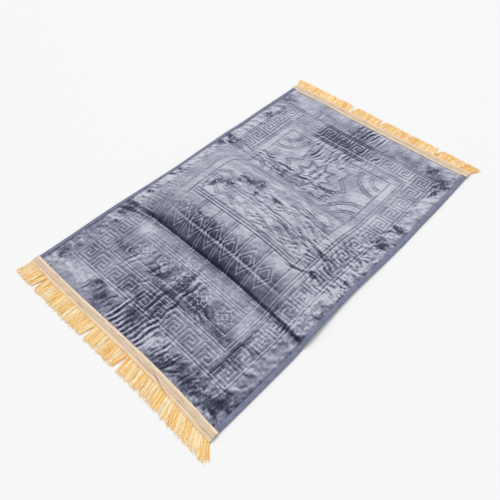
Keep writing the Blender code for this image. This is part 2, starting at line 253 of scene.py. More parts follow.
# ---- Colours and noises ----
VELVET_TONES = (
    (0.05, (0.012, 0.014, 0.034)), (0.35, (0.064, 0.067, 0.114)), (0.60, (0.187, 0.188, 0.258)),
    (0.80, (0.334, 0.334, 0.415)), (1.00, (0.545, 0.545, 0.618)),
)
VELVET_TINT = (0.74, 0.80, 1.0, 1)
VELVET_SHEEN_TINT = (0.80, 0.84, 1.0, 1)
PATCH_NOISE = (17, 6, 0.9)  # scale, detail, distortion
CRUMPLE_NOISE = (120, 4)
CRUMPLE_BUMP = (0.0014, 0.5)  # distance in metres, strength
FINE_NOISE = (420, 2)
FINE_BUMP = (0.0005, 0.5)
STREAK_FLAT = ((95, 30, 1), 14)  # stretch, turn
STREAK_NOISE = (1, 4, 0.6)
RAGGED_FLAT = ((110, 60, 1), 30)
RAGGED_NOISE = (1, 5, 1.0)
RAGGED_GAIN = 5.0  # how sharply brushed patches end
RAGGED_LEVEL = -1.5
PATCH_LEVEL = 0.47
PATCH_LIGHTEST = 0.03
PATCH_GAIN = 1.9  # of the dark patches in crushed pile
CRUSH_LEVEL = 1.0
CRUSH_GAIN = 0.9  # of its light streaks
FINE_GAIN = 0.06
CLOTH_NOISE = (60, 4)
BACKING_TONES = ((0.3, (0.10, 0.11, 0.15)), (0.7, (0.15, 0.16, 0.21)))
BINDING_TONES = ((0.3, (0.16, 0.18, 0.27)), (0.7, (0.225, 0.245, 0.355)))
BACKING_WEAVE = (3000, 3000)
BINDING_WEAVE = (2800, 4200)
WEAVE_BUMP = (0.0004, 0.6)
TAPE_PALE = (1.0, 0.86, 0.65)
TAPE_GOLD = (1.0, 0.71, 0.42)
TAPE_BROWN = (0.68, 0.47, 0.31)
# the tint of the dark warp lines, also laid on as painted shade
TAPE_WARP_AND_SHADE_TINT = (0.68, 0.50, 0.36, 1)
TAPE_TONES = (
    (0.03, TAPE_GOLD), (0.10, TAPE_PALE), (0.26, TAPE_PALE), (0.30, (0.58, 0.43, 0.28)),
    (0.34, TAPE_PALE), (0.45, TAPE_BROWN), (0.50, TAPE_PALE), (0.56, TAPE_BROWN), (0.61, TAPE_PALE),
    (0.70, (0.54, 0.39, 0.24)), (0.75, TAPE_PALE), (0.98, TAPE_GOLD),
)
WOBBLE_FLAT = (14, 120, 1)  # stretch, as for all the tape's noises
WOBBLE_GAIN = 0.08
GRAIN_FLAT = (700, 160, 1)
GRAIN_GAIN = 0.16
THIN_FLAT = (26, 650, 1)  # of the thin dark streaks along the tape
THIN_LEVEL = 0.585
THIN_GAIN = 8.0
RIB_TURNS = 70
RIB_BUMP = (0.0005, 0.7)
FRINGE_TONES = (
    (0.05, (0.86, 0.40, 0.06)), (0.40, (0.98, 0.60, 0.17)), (0.75, (1.00, 0.78, 0.39)),
    (1.00, (1.00, 0.93, 0.74)),
)
FLOOR_COLOUR = (0.92, 0.92, 0.922, 1)

# ---- Camera, light and floor, in the solids' frame and in metres ----
CAMERA_PLACE = (0.66024, -0.73519, 1.07576)
CAMERA_RIGHT = (0.72490, 0.68859, -0.01902)
CAMERA_UP = (-0.52934, 0.57450, 0.62431)
CAMERA_LENS = 35.73
CAMERA_SENSOR = 36
LIGHT_FROM = (-0.50, 0.60, 0.85)
LIGHT_ENERGY = 1.62
LIGHT_ANGLE = 32
STUDIO_COLOUR = (0.99, 0.99, 1.0, 1)
STUDIO_STRENGTH = 0.64
FLOOR_HALF = 6.0
FLOOR_DROP = 0.0002


def ease(low, high, value):
    """0 below low, 1 above high, and a smooth step between."""
    t = np.clip((value - low) / (high - low), 0, 1)
    return t * t * (3 - 2 * t)


def between(bounds, value):
    """A smooth hump that starts, is full, fades and ends at the four bounds."""
    return ease(bounds[0], bounds[1], value) * (1 - ease(bounds[2], bounds[3], value))


def span(low, high, fades, value):
    """A smooth hump from low to high; the fades place its bounds beside these two."""
    return between((low + fades[0], low + fades[1], high + fades[2], high + fades[3]), value)


def read_table(table, column, place):
    """A column of a table in mm at a place in metres, with its corners rounded."""
    rows = np.array(table, float) * MM
    spread = [np.interp(place + d, rows[:, 0], rows[:, column]) for d in SMOOTHING]
    return np.mean(spread, axis=0)


def from_edge(u, width=CLOTH_WIDTH):
    return np.minimum(u, width - u)


def crease_line(u):
    return CREASE_V - CREASE_SLANT * ease(*CREASE_SLANT_SPAN, u)


def ridge(u, past_crease, v):
    rise = ease(*RIDGE_LEFT, u) * (1 - RIDGE_RIGHT_SHARE * ease(*RIDGE_RIGHT, u))
    roll = 1 - np.exp(-past_crease / RIDGE_ROLL)
    return RIDGE_HEIGHT * rise * roll * (1 - ease(*RIDGE_END, v))


def hump(u, v):
    along = np.clip((v - CREASE_V) / (HUMP_END - CREASE_V), 0, 1)
    across = np.clip(u / HUMP_WIDTH, 0, 1)
    return HUMP_HEIGHT * np.sin(math.pi * along) * np.sin(math.pi * across)


def edge_wave(u, past_crease):
    t = past_crease / EDGE_WAVE_PEAK
    return EDGE_WAVE_HEIGHT * ease(EDGE_WAVE_FROM, CLOTH_WIDTH, u) * t * np.exp(1 - t)


def centre_fold(u, v):
    side = 1 - ease(0, CENTRE_FOLD_HALF, abs(u - CENTRE_FOLD_U))
    return CENTRE_FOLD_HEIGHT * side * (between(CENTRE_FOLD_NEAR, v) + between(CENTRE_FOLD_FAR, v))


def binding_lift(inward):
    """The cloth's edge stands on the binding's lower leg."""
    return (BINDING_THICKNESS + GAP) * (1 - ease(*BINDING_LIFT_FADE, inward))


def fold_height(u, v):
    """The height of the cloth's underside over the floor."""
    past_crease = np.maximum(v - crease_line(u), 0)
    folds = ridge(u, past_crease, v) + hump(u, v) + edge_wave(u, past_crease)
    return folds + centre_fold(u, v) + binding_lift(from_edge(u))


def running_length(height, steps, axis):
    """How far the cloth reaches in plan, when each fine step keeps its own length."""
    rise = np.diff(height, axis=axis)
    plan = np.sqrt(np.maximum(steps**2 - rise**2, (LEAST_PLAN_SHARE * steps) ** 2))
    total = np.cumsum(plan, axis=axis)
    return np.insert(total, 0, 0, axis=axis)


class Surface:
    """The cloth's underside as it lies, ready to be looked up at any (u, v)."""

    def __init__(self):
        self.u = np.linspace(0, CLOTH_WIDTH, round(CLOTH_WIDTH / FINE_STEP) + 1)
        self.v = np.linspace(0, CLOTH_LENGTH, round(CLOTH_LENGTH / FINE_STEP) + 1)
        u, v = np.meshgrid(self.u, self.v, indexing="ij")
        z = fold_height(u, v)
        across = running_length(z, np.diff(self.u)[:, None], 0)
        along = running_length(z, np.diff(self.v)[None, :], 1)
        y = along / along[:, -1:] * read_table(FAR_LINE, 1, u)
        left = read_table(OUTLINE, 1, y)
        right = read_table(OUTLINE, 2, y)
        x = left + (right - left) * across / across[-1:]
        self.points = np.stack([x, y, z], axis=-1)
        self.normals = self.find_normals()
        self.shift = self.find_shift()

    def find_normals(self):
        across = np.gradient(self.points, axis=0)
        along = np.gradient(self.points, axis=1)
        normal = np.cross(across, along)
        return normal / np.linalg.norm(normal, axis=-1, keepdims=True)

    def find_shift(self):
        """From this surface's own origin to the middle of the solids' base."""
        proud = BINDING_THICKNESS + GAP
        left = self.points[0, :, 0].min() - proud
        near = read_table(NEAR_TAPE, 1, self.points[:, 0, 0]).max()
        return np.array([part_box("binding_left")[0].x - left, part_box("tape_near")[1].y - near, 0])

    def look_up(self, grid, u, v):
        i = np.clip(u / CLOTH_WIDTH * (len(self.u) - 1), 0, len(self.u) - 1.001)
        j = np.clip(v / CLOTH_LENGTH * (len(self.v) - 1), 0, len(self.v) - 1.001)
        i0 = np.floor(i).astype(int)
        j0 = np.floor(j).astype(int)
        a = (i - i0)[..., None]
        b = (j - j0)[..., None]
        near = grid[i0, j0] * (1 - a) + grid[i0 + 1, j0] * a
        far = grid[i0, j0 + 1] * (1 - a) + grid[i0 + 1, j0 + 1] * a
        return near * (1 - b) + far * b

    def point(self, u, v):
        """The place of (u, v), also on the level tails under the tapes."""
        place = self.look_up(self.points, u, v)
        place[..., 1] += np.minimum(v, 0) + np.maximum(v - CLOTH_LENGTH, 0)
        return place

    def normal(self, u, v):
        found = self.look_up(self.normals, u, v)
        tail = (v < 0) | (v > CLOTH_LENGTH)
        return np.where(tail[..., None], (0.0, 0.0, 1.0), found)

    def follow_tapes(self, u, v):
        """v, drawn along so that the cloth's ends keep to the tapes' bent edges."""
        x = self.point(u, np.clip(v, 0, CLOTH_LENGTH))[..., 0]
        end = self.point(u, np.full_like(u, CLOTH_LENGTH))[..., 1]
        bent = v + read_table(NEAR_TAPE, 1, x) * (1 - ease(*TAPE_DRAW_NEAR, v))
        return bent + (read_table(FAR_TAPE, 1, x) - end) * ease(*TAPE_DRAW_FAR, v)


# ---- Pattern lines, as polylines in mm on the flat cloth ----


def key_run(start, along, inward, units):
    """One side of the key border, from its outer base line inward."""
    made = []
    for k in range(units):
        corners = []
        for a, b in KEY_PATH:
            reach = (a + CELLS_A_UNIT * k) * CELL
            depth = b * CELL
            corners.append((start[0] + along[0] * reach + inward[0] * depth,
                            start[1] + along[1] * reach + inward[1] * depth))
        made.append(corners)
    return made


def shrunk(box, inset):
    left, near, right, far = box
    return left + inset, near + inset, right - inset, far - inset


def rectangle(box):
    left, near, right, far = box
    return [(left, near), (right, near), (right, far), (left, far), (left, near)]


def border_lines():
    between_corners = UNITS_ACROSS - 2
    made = key_run((KEY_LEFT + UNIT, KEY_NEAR), (1, 0), (0, 1), between_corners)
    made += key_run((KEY_RIGHT, KEY_NEAR), (0, 1), (-1, 0), UNITS_ALONG)
    made += key_run((KEY_RIGHT - UNIT, KEY_FAR), (-1, 0), (0, -1), between_corners)
    made += key_run((KEY_LEFT, KEY_FAR), (0, -1), (1, 0), UNITS_ALONG)
    for steps in (0, *FRAME_STEPS):
        made.append(rectangle(shrunk(KEY_BOX, steps * STEP)))
    return made


def star_outline(middle, radius, inner_share):
    made = []
    for k in range(2 * STAR_POINTS + 1):
        angle = math.pi * (k / STAR_POINTS + 0.5)
        reach = radius * inner_share if k % 2 else radius
        made.append((middle[0] + reach * math.cos(angle), middle[1] + reach * math.sin(angle)))
    return made


def lozenge(middle, half_width, half_length):
    x, y = middle
    return [(x, y - half_length), (x + half_width, y), (x, y + half_length),
            (x - half_width, y), (x, y - half_length)]


def quarter_fan(corner, radius, side_x, side_y):
    made = []
    for angle in np.linspace(0, 1, 13) * math.pi / 2:
        made.append((corner[0] + side_x * radius * math.cos(angle),
                     corner[1] + side_y * radius * math.sin(angle)))
    return made


def zigzag(left, right, v, swing, teeth):
    made = []
    for k in range(2 * teeth + 1):
        side = swing if k % 2 else -swing
        made.append((left + (right - left) * k / (2 * teeth), v + side))
    return made


def band_lines(left, right):
    made = []
    for first, count in BANDS:
        for k in range(count):
            v = first + k * LINE_SPACING
            made.append([(left, v), (right, v)])
    for v, swing, teeth in ZIGZAGS:
        for aside in (-LINE_SPACING / 2, LINE_SPACING / 2):
            made.append(zigzag(left, right, v + aside, swing, teeth))
    return made


def lozenge_lines(left, right):
    spacing = (right - left) / LOZENGE_COUNT
    made = []
    for k in range(LOZENGE_COUNT):
        for half_width, half_length in LOZENGES:
            made.append(lozenge((left + (k + 0.5) * spacing, LOZENGE_V), half_width, half_length))
    for k in range(1, LOZENGE_COUNT):
        for aside in (-POST_ASIDE, POST_ASIDE):
            u = left + k * spacing + aside
            made.append([(u, POST_SPAN[0]), (u, POST_SPAN[1])])
    return made


def star_lines(left, near, right):
    made = [star_outline(((left + right) / 2, STAR_V), *star) for star in STARS]
    room = right - left - 2 * SMALL_STAR_INSET
    for k in range(SMALL_STAR_COUNT):
        u = left + SMALL_STAR_INSET + k * room / (SMALL_STAR_COUNT - 1)
        place = (u, near + SMALL_STAR_INSET)
        made.append(star_outline(place, *SMALL_STAR))
        made.append(lozenge(place, SMALL_LOZENGE, SMALL_LOZENGE))
    return made


def fan_lines(left, right, far):
    made = []
    for radius in FAN_RADII:
        for v, side_y in ((far, -1), (FAN_FOOT, 1)):
            made.append(quarter_fan((left, v), radius, 1, side_y))
            made.append(quarter_fan((right, v), radius, -1, side_y))
    for aside in FAR_POSTS:
        u = (left + right) / 2 + aside
        made.append([(u, FAR_POSTS_FROM), (u, far + FAR_POSTS_PAST)])
    return made


def centre_lines():
    inside = shrunk(KEY_BOX, FRAME_STEPS[-1] * STEP)
    left, near, right, far = shrunk(inside, FIELD_INSET)
    made = [rectangle(shrunk(inside, GUARD_INSET))]
    made += band_lines(left, right)
    made += lozenge_lines(left, right)
    made += star_lines(left, near, right)
    return made + fan_lines(left, right, far)


# ---- The cloth's grid, drawn onto the pattern's lines ----


def even_lines(start, end, spacing):
    steps = max(round((end - start) / spacing), 1)
    return list(np.linspace(start, end, steps + 1))


def grid_places(low, high, key_start, key_end, coarse_step):
    """Fine lines over the border and what it frames, wider ones outside it."""
    fine = even_lines(key_start - FINE_MARGIN, key_end + FINE_MARGIN, STEP)
    before = even_lines(low, fine[0], coarse_step)
    after = even_lines(fine[-1], high, coarse_step)
    return np.array(before[:-1] + fine + after[1:])


class PressedGrid:
    """Grid points on the flat cloth in mm; each pressed line draws the nearest points onto it."""

    def __init__(self):
        ends = (-TUCK / MM, (CLOTH_LENGTH + TUCK) / MM)
        self.across = grid_places(0, CLOTH_WIDTH / MM, KEY_LEFT, KEY_RIGHT, COARSE_STEPS[0])
        self.along = grid_places(*ends, KEY_NEAR, KEY_FAR, COARSE_STEPS[1])
        self.place = np.stack(np.meshgrid(self.across, self.along, indexing="ij"), axis=-1)
        self.groove = np.zeros(self.place.shape[:2])
        self.held = np.zeros(self.place.shape[:2], bool)

    def press(self, polyline):
        """Points move across a span, along the axis that it follows less."""
        for start, end in zip(polyline, polyline[1:]):
            steep = abs(end[1] - start[1]) >= abs(end[0] - start[0])
            self.press_span(start, end, 1 if steep else 0)

    def press_span(self, start, end, run):
        """run is the axis that the span mostly follows."""
        lines = (self.across, self.along)
        low, high = sorted((start[run], end[run]))
        half = STEP / 2
        length = end[run] - start[run]
        slope = (end[1 - run] - start[1 - run]) / length if length else 0
        beside = min(LINE_HALF_WIDTH * math.hypot(1, slope), WIDEST_LINE)
        for index in np.flatnonzero((lines[run] >= low - half) & (lines[run] <= high + half)):
            at = min(max(lines[run][index], low), high)
            target = start[1 - run] + slope * (at - start[run])
            nearest = int(np.argmin(abs(lines[1 - run] - target)))
            self.draw_point(index, nearest, target, beside, run)

    def draw_point(self, index, nearest, target, beside, run):
        cell = (nearest, index) if run == 1 else (index, nearest)
        self.groove[cell] = 1
        if self.held[cell]:
            return
        self.held[cell] = True
        self.place[cell][1 - run] = target
        for side in (-1, 1):
            other = (nearest + side, index) if run == 1 else (index, nearest + side)
            if not self.held[other]:
                self.place[other][1 - run] = target + side * beside


# ---- Wrinkles ----

# Soft ridges and troughs in the cloth, in mm: from, to, sideways bow, half width, height
WRINKLES = (
    # the foot of the fold
    (-40, 311, 500, 309, 0, 5, -1.8), (380, 311, 740, 289, 6, 5, -1.8),
    (-40, 301, 500, 299, 0, 6, 1.2), (380, 300, 740, 278, 6, 6, 1.2),
    (590, 297, 740, 285, 0, 6, -2.6), (590, 311, 740, 300, 0, 8, 2.2),
    # the thin line across the wall of the fold
    (165, 368, 380, 366, 0, 3, -1.0), (370, 366, 592, 357, 0, 3, -0.8),
    (165, 362, 592, 352, 0, 3.5, 0.8),
    # crossing the right key column
    (592, 586, 638, 551, 3, 4, 1.6), (598, 575, 634, 546, 3, 3.5, -1.4),
    (600, 562, 640, 532, 2, 4, 1.5), (604, 545, 640, 518, 2, 3.5, -1.3),
    (606, 533, 642, 508, 0, 4, 1.4), (568, 532, 606, 518, 0, 4, -1.8),
    (565, 541, 600, 529, 0, 4, 1.5), (610, 508, 645, 492, 0, 4, -1.4),
    (600, 498, 640, 480, 2, 4, 1.2), (592, 470, 612, 452, 0, 4.5, -2.4),
    (586, 478, 612, 464, 3, 5, 1.8), (612, 466, 658, 450, 2, 4, -1.6),
    (530, 445, 598, 472, -5, 5, 1.8), (525, 438, 590, 462, -5, 5, -1.4),
    (600, 440, 650, 425, 0, 5, 1.2), (604, 412, 640, 402, 0, 4, -1.2),
    (600, 640, 634, 606, 3, 4, 1.3), (606, 628, 640, 590, 3, 4, -1.2),
    (598, 612, 628, 586, 3, 4, 1.2), (602, 690, 636, 668, 3, 4, 1.0),
    (606, 676, 638, 650, 3, 4, -1.0),
    # across the middle, falling towards the right
    (466, 550, 518, 520, 4, 4.5, -1.6), (474, 558, 526, 527, 4, 5, 1.6),
    (516, 545, 594, 537, -8, 4, -1.5), (520, 554, 600, 545, -8, 5, 1.6),
    (522, 520, 556, 511, 0, 4, -1.4), (520, 528, 560, 519, 0, 5, 1.3),
    (524, 602, 553, 588, 0, 4, -1.4), (520, 594, 548, 581, 0, 4, 1.2),
    (420, 620, 455, 598, 3, 4, -1.0), (412, 612, 462, 586, 3, 5, 1.1),
    (345, 585, 410, 578, -9, 5, -1.4), (340, 594, 420, 584, -9, 6, 1.4),
    (400, 580, 470, 560, -4, 5, 1.0), (340, 540, 430, 528, 4, 4, -1.0),
    (430, 532, 500, 512, 4, 5, 1.1), (300, 500, 380, 492, 5, 5, -0.9),
    (370, 506, 450, 478, 5, 5, 1.0), (440, 480, 520, 468, -5, 5, -0.9),
    (500, 486, 566, 470, 4, 6, 1.0),
    # the right margin
    (652, 512, 698, 506, 0, 4, -1.8), (652, 501, 696, 497, 0, 4, 1.4),
    (654, 493, 686, 490, 0, 3.5, -1.4), (660, 560, 698, 552, 4, 4, -1.4),
    (655, 550, 698, 545, 4, 5, 1.5), (646, 610, 690, 580, 6, 5, 1.6),
    (650, 600, 682, 572, 6, 4, -1.4), (650, 640, 664, 690, 4, 5, 1.3),
    (690, 640, 668, 600, 5, 4, -1.2), (650, 470, 690, 440, 5, 5, 1.4),
    (656, 455, 700, 425, 5, 4, -1.3), (655, 405, 672, 330, 6, 6, 1.4),
    (690, 420, 676, 360, -5, 4, -1.3), (640, 720, 700, 702, 3, 5, 1.5),
    (646, 790, 700, 772, -4, 5, 1.2), (650, 745, 692, 752, 4, 4, -1.3),
    (652, 850, 690, 900, 6, 6, 1.0), (660, 940, 680, 1000, 5, 6, 1.4),
    # the right corners
    (650, 52, 692, 18, -9, 4, 1.8), (644, 44, 684, 12, -9, 4, -1.6), (600, 60, 640, 20, 5, 4, 1.3),
    (612, 70, 652, 52, 0, 4, -1.4), (628, 18, 640, 48, 0, 3, -1.4), (660, 30, 700, 40, 4, 4, -1.1),
    (500, 12, 522, 46, 5, 4, 1.4), (510, 8, 530, 36, 5, 4, -1.3), (600, 1092, 650, 1020, 8, 8, 1.3),
    (640, 1090, 612, 1040, 6, 8, -1.3), (650, 1052, 690, 1010, -6, 7, 1.4),
    # the left margin
    (12, 512, 34, 498, 0, 4, -1.5), (10, 472, 40, 480, -4, 4, -1.6), (14, 482, 38, 490, -4, 4, 1.3),
    (22, 452, 46, 438, 0, 4, 1.2), (24, 534, 44, 530, 0, 4, -1.2), (14, 560, 40, 590, 6, 5, 1.0),
    (14, 380, 50, 366, 3, 5, -1.5), (16, 392, 54, 378, 3, 6, 1.4), (14, 420, 50, 408, 0, 5, 1.1),
    (22, 705, 74, 696, 3, 4, 1.6), (28, 712, 80, 706, 3, 4, -1.4), (16, 735, 50, 725, 4, 5, 1.2),
    (12, 680, 40, 660, 4, 5, 1.3), (16, 820, 48, 838, 5, 6, 0.9), (14, 900, 50, 950, 6, 6, 1.2),
    (16, 268, 52, 278, 4, 5, -1.5), (14, 284, 60, 296, 4, 5, 1.4), (30, 250, 60, 225, 0, 5, 0.9),
    # where the crease begins, small pleats
    (56, 318, 74, 304, 0, 3, 1.0), (68, 322, 86, 306, 0, 3, 1.1), (80, 325, 98, 308, 0, 3, 1.2),
    (92, 328, 110, 309, 0, 3, 1.2), (104, 330, 122, 310, 0, 3, 1.1),
    (116, 332, 134, 312, 0, 3, 1.0),
    # past the far end of the fold
    (215, 752, 300, 760, 6, 5, -1.2), (220, 762, 300, 771, 6, 5, 1.1),
    (300, 758, 360, 770, -8, 5, -1.3), (310, 768, 372, 782, -8, 5, 1.2),
    (352, 778, 356, 838, 4, 5, -1.4), (362, 776, 368, 832, 4, 5, 1.3),
    (390, 764, 450, 770, -6, 5, -1.2), (384, 774, 452, 780, -6, 5, 1.1),
    (60, 745, 150, 738, 3, 5, -1.0),
    # low on the near field
    (258, 196, 292, 168, 4, 5, -1.8), (262, 208, 300, 184, 4, 6, 1.8),
    (278, 172, 300, 200, -5, 4, 1.5), (325, 205, 342, 160, 3, 4, 1.4),
    (425, 205, 470, 178, 5, 4, -1.4), (432, 216, 480, 188, 5, 5, 1.3),
    (440, 190, 480, 164, 5, 4, -1.3), (450, 178, 486, 152, 5, 4, 1.2),
    (120, 60, 190, 40, 6, 6, 0.9), (180, 66, 210, 42, 5, 6, -1.4), (196, 74, 232, 50, 5, 6, 1.3),
    (60, 36, 130, 20, 5, 6, 0.9),
)
WRINKLE_ENDS = (-0.05, 0.3, 0.7, 1.05)  # as shares of a wrinkle's length

# Runs of ripples, in mm but for the direction in degrees:
# from u, to u, from v, to v, direction, spacing, height, wander, seed
RIPPLES = (
    (278, 428, -16, 92, 86, 15, 2.9, 0.13, 1), (330, 412, 60, 250, 90, 22, 2.2, 0.14, 2),
    (445, 490, -6, 76, 88, 12, 1.4, 0.30, 3), (492, 650, -6, 72, 84, 15, 0.8, 0.45, 4),
    (465, 600, -6, 72, 22, 13, 0.6, 0.45, 26), (294, 408, 1022, 1116, 86, 15, 1.9, 0.34, 5),
    (250, 404, 850, 950, 88, 17, 1.5, 0.3, 6), (410, 460, 1000, 1112, 94, 16, 1.2, 0.2, 7),
    (255, 330, 80, 160, 90, 15, 1.2, 0.2, 8), (170, 285, 6, 76, 66, 22, 1.0, 0.3, 9),
    (5, 66, 4, 76, -40, 18, 1.2, 0.4, 10),
    # the crumpled right half of the middle
    (360, 600, 440, 640, -7, 15, 0.75, 0.6, 11), (470, 640, 470, 610, -22, 14, 0.9, 0.6, 12),
    (584, 652, 430, 720, -40, 14, 1.5, 0.36, 13), (225, 400, 455, 620, -3, 17, 0.7, 0.4, 14),
    # the margins
    (645, 704, 300, 470, 112, 14, 0.8, 0.25, 15), (645, 704, 440, 640, -20, 15, 1.4, 0.5, 16),
    (645, 704, 620, 770, 30, 24, 0.9, 0.6, 17), (645, 704, 900, 1090, 70, 26, 0.6, 0.5, 18),
    (6, 62, 330, 560, 30, 18, 1.0, 0.6, 19), (6, 62, 540, 770, -25, 20, 1.0, 0.6, 20),
    (640, 704, 80, 290, -65, 24, 0.6, 0.5, 21),
    # along the far foot of the hump
    (150, 470, 716, 792, -3, 15, 1.1, 0.5, 22),
    # the far field and border
    (236, 474, 925, 1020, 90, 19, 1.1, 0.3, 23), (400, 500, 130, 230, -40, 16, 1.4, 0.3, 24),
    (180, 300, 120, 240, 80, 26, 1.0, 0.4, 25),
)

RIPPLE_FADES = ((-6, 12, -12, 6), (0, 20, -24, 0))  # across and along
RIPPLE_WANDER = 62  # the size of the bends in the waves
RIPPLE_SWELL = 44  # the size of the stretches where they are higher

# Where the pressed lines are faint, in mm: from u, to u, from v, to v, what is left of them
FAINT_LINES = (
    (30, 130, 350, 450, 0.65), (30, 130, 450, 750, 0.35), (30, 700, 310, 350, 0.85),
    (150, 225, 930, 1020, 0.45), (430, 560, 930, 1020, 0.65), (590, 700, 770, 930, 0.60),
    (590, 700, 640, 770, 0.70), (170, 570, 480, 715, 0.60), (170, 570, 850, 925, 0.75),
    (130, 175, 700, 1000, 0.70), (560, 600, 700, 1000, 0.70),
)
FAINT_FADES = ((-12, 12, -12, 12), (-16, 16, -16, 16))  # across and along

# The pile's own unevenness, in mm but for the seeds: size, seed, height
PILE_SWELLS = ((60, 11, 0.35), (20, 12, 0.16))
MARGIN_FADE = (50, 72)
MARGIN_DENTS = (36, 13, 0.85)
MARGIN_DENT_LIMITS = (-0.2, 1.6)
MARGIN_CREASES = (17, 14, 0.3)
NOISE_WAVES = 14


def wrinkle(u, v, row):
    u1, v1, u2, v2, bow, half_width, height = row
    length = math.hypot(u2 - u1, v2 - v1)
    along = ((u - u1) * (u2 - u1) + (v - v1) * (v2 - v1)) / length**2
    aside = ((v - v1) * (u2 - u1) - (u - u1) * (v2 - v1)) / length
    inside = np.clip(along, 0, 1)
    away = aside - bow * 4 * inside * (1 - inside)
    return height * MM * between(WRINKLE_ENDS, along) * np.exp(-((away / half_width) ** 2))


def soft_noise(u, v, size, seed, stretch=1.0):
    """Smooth random values around 0, mostly within -1 and 1, with features of one size."""
    rolls = random.Random(seed)
    total = np.zeros_like(u)
    for _ in range(NOISE_WAVES):
        angle = rolls.uniform(0, 2 * math.pi)
        turns = 2 * math.pi * rolls.uniform(0.5, 1.5) / size
        phase = rolls.uniform(0, 2 * math.pi)
        total += np.sin(turns * (u * math.cos(angle) + v * math.sin(angle) / stretch) + phase)
    return total / math.sqrt(NOISE_WAVES)


def ripple(u, v, row):
    """Parallel waves that wander and swell, with a smooth start and end."""
    u1, u2, v1, v2, direction, spacing, height, wander, seed = row
    window = span(u1, u2, RIPPLE_FADES[0], u) * span(v1, v2, RIPPLE_FADES[1], v)
    angle = math.radians(direction)
    across = v * math.cos(angle) - u * math.sin(angle)
    drift = wander * soft_noise(u, v, RIPPLE_WANDER, 100 + seed)
    stretch = 1 + 2 * abs(math.sin(angle))
    swell = np.clip(0.65 + 0.6 * soft_noise(u, v, RIPPLE_SWELL, 200 + seed, stretch), 0, 1.5)
    phase = 2 * math.pi * (across / spacing + drift)
    wave = 0.75 * np.sin(phase) + 0.25 * np.sin(2 * phase + 0.8)
    return height * MM * window * swell * wave


def line_strength(u, v):
    """How much is left of a pressed line; u and v in mm."""
    strength = np.ones_like(u)
    for u1, u2, v1, v2, left in FAINT_LINES:
        window = span(u1, u2, FAINT_FADES[0], u) * span(v1, v2, FAINT_FADES[1], v)
        strength *= 1 - (1 - left) * window
    return strength


def relief(u, v):
    """Height of the crushed pile over the even cloth; u and v in mm."""
    total = sum(wrinkle(u, v, row) for row in WRINKLES)
    total = total + sum(ripple(u, v, row) for row in RIPPLES)
    for size, seed, height in PILE_SWELLS:
        total = total + height * MM * soft_noise(u, v, size, seed)
    size, seed, dent_height = MARGIN_DENTS
    dents = np.clip(soft_noise(u, v, size, seed), *MARGIN_DENT_LIMITS)
    size, seed, crease_height = MARGIN_CREASES
    creases = soft_noise(u, v, size, seed)
    margin = 1 - ease(*MARGIN_FADE, from_edge(u, CLOTH_WIDTH / MM))
    return total + margin * MM * (dent_height * dents + crease_height * creases)


# ---- The lie of the nap, and the shade painted onto it ----

# Soft tones of the nap and painted shade, in mm: middle, half sizes, turn in degrees, lighter or
# darker
NAP_TONES_AND_PAINTED_SHADE = (
    # painted shade and highlights on the wall of the fold, its foot and the slope beyond it
    (350, 322, 250, 26, 0, -0.56), (150, 320, 80, 16, 14, -0.22), (350, 366, 205, 24, 0, -0.49),
    (350, 309, 400, 5, 0, -0.40), (610, 297, 110, 6, -5, -0.45), (668, 289, 50, 7, -5, -0.50),
    (676, 291, 20, 3, -6, 0.45), (378, 363, 230, 2.2, -1.5, 0.26),
    (378, 370, 230, 3.0, -1.5, -0.16), (582, 336, 48, 26, 0, -0.26), (560, 396, 60, 26, 0, -0.10),
    (40, 306, 50, 6, 0, -0.40), (320, 684, 190, 18, 0, -0.15),
    # the near end, with painted shade along the centre fold and the right key column and a painted
    # highlight beside the fold
    (350, 40, 62, 48, 0, -0.22), (340, 108, 190, 22, 0, -0.07), (350, 130, 60, 60, 0, -0.16),
    (366, 175, 4.5, 95, 0, -0.50), (380, 165, 6, 70, 0, 0.06), (602, 150, 7, 90, 0, -0.50),
    (590, 45, 110, 40, 0, -0.09), (95, 115, 24, 40, 20, -0.12),
    # the far end
    (330, 982, 95, 28, 0, -0.17), (345, 1046, 52, 38, 0, -0.16), (350, 900, 50, 60, 0, -0.10),
    (190, 985, 60, 18, 0, -0.10), (350, 1060, 400, 50, 0, -0.05), (620, 520, 22, 60, 0, -0.10),
    # light places
    (130, 40, 60, 22, 0, 0.14), (60, 170, 18, 60, 0, 0.06), (150, 262, 26, 28, 0, 0.20),
    (150, 440, 26, 50, 0, 0.08), (420, 636, 150, 16, -4, 0.09), (350, 520, 250, 90, 0, 0.05),
    (190, 850, 70, 30, 0, 0.09), (545, 850, 45, 70, 0, 0.10), (574, 232, 20, 34, 0, 0.22),
    (532, 420, 30, 20, 0, 0.16), (430, 40, 14, 26, 0, 0.30), (600, 1052, 24, 14, -40, 0.18),
    (110, 40, 130, 40, 0, 0.12), (625, 40, 70, 40, 0, 0.08), (540, 106, 120, 24, 0, -0.05),
    (620, 985, 26, 26, 0, -0.14), (560, 1058, 60, 16, 0, -0.08), (620, 470, 22, 140, 0, -0.07),
    (668, 480, 22, 170, 0, 0.12), (28, 600, 24, 260, 0, 0.06), (400, 550, 150, 60, 0, 0.04),
    (60, 1048, 26, 9, 10, -0.16), (120, 1040, 40, 8, 50, -0.12), (212, 1062, 26, 5, 0, -0.24),
    (200, 1030, 30, 8, 30, -0.16), (178, 1043, 2.5, 16, 0, -0.50), (172, 1060, 8, 2.5, 0, -0.50),
    (480, 1035, 30, 10, -20, -0.14), (680, 880, 22, 90, 0, 0.12), (684, 980, 22, 40, 0, 0.10),
    (24, 600, 22, 90, 0, 0.10), (24, 420, 20, 60, 0, 0.08), (24, 170, 22, 70, 0, 0.06),
)
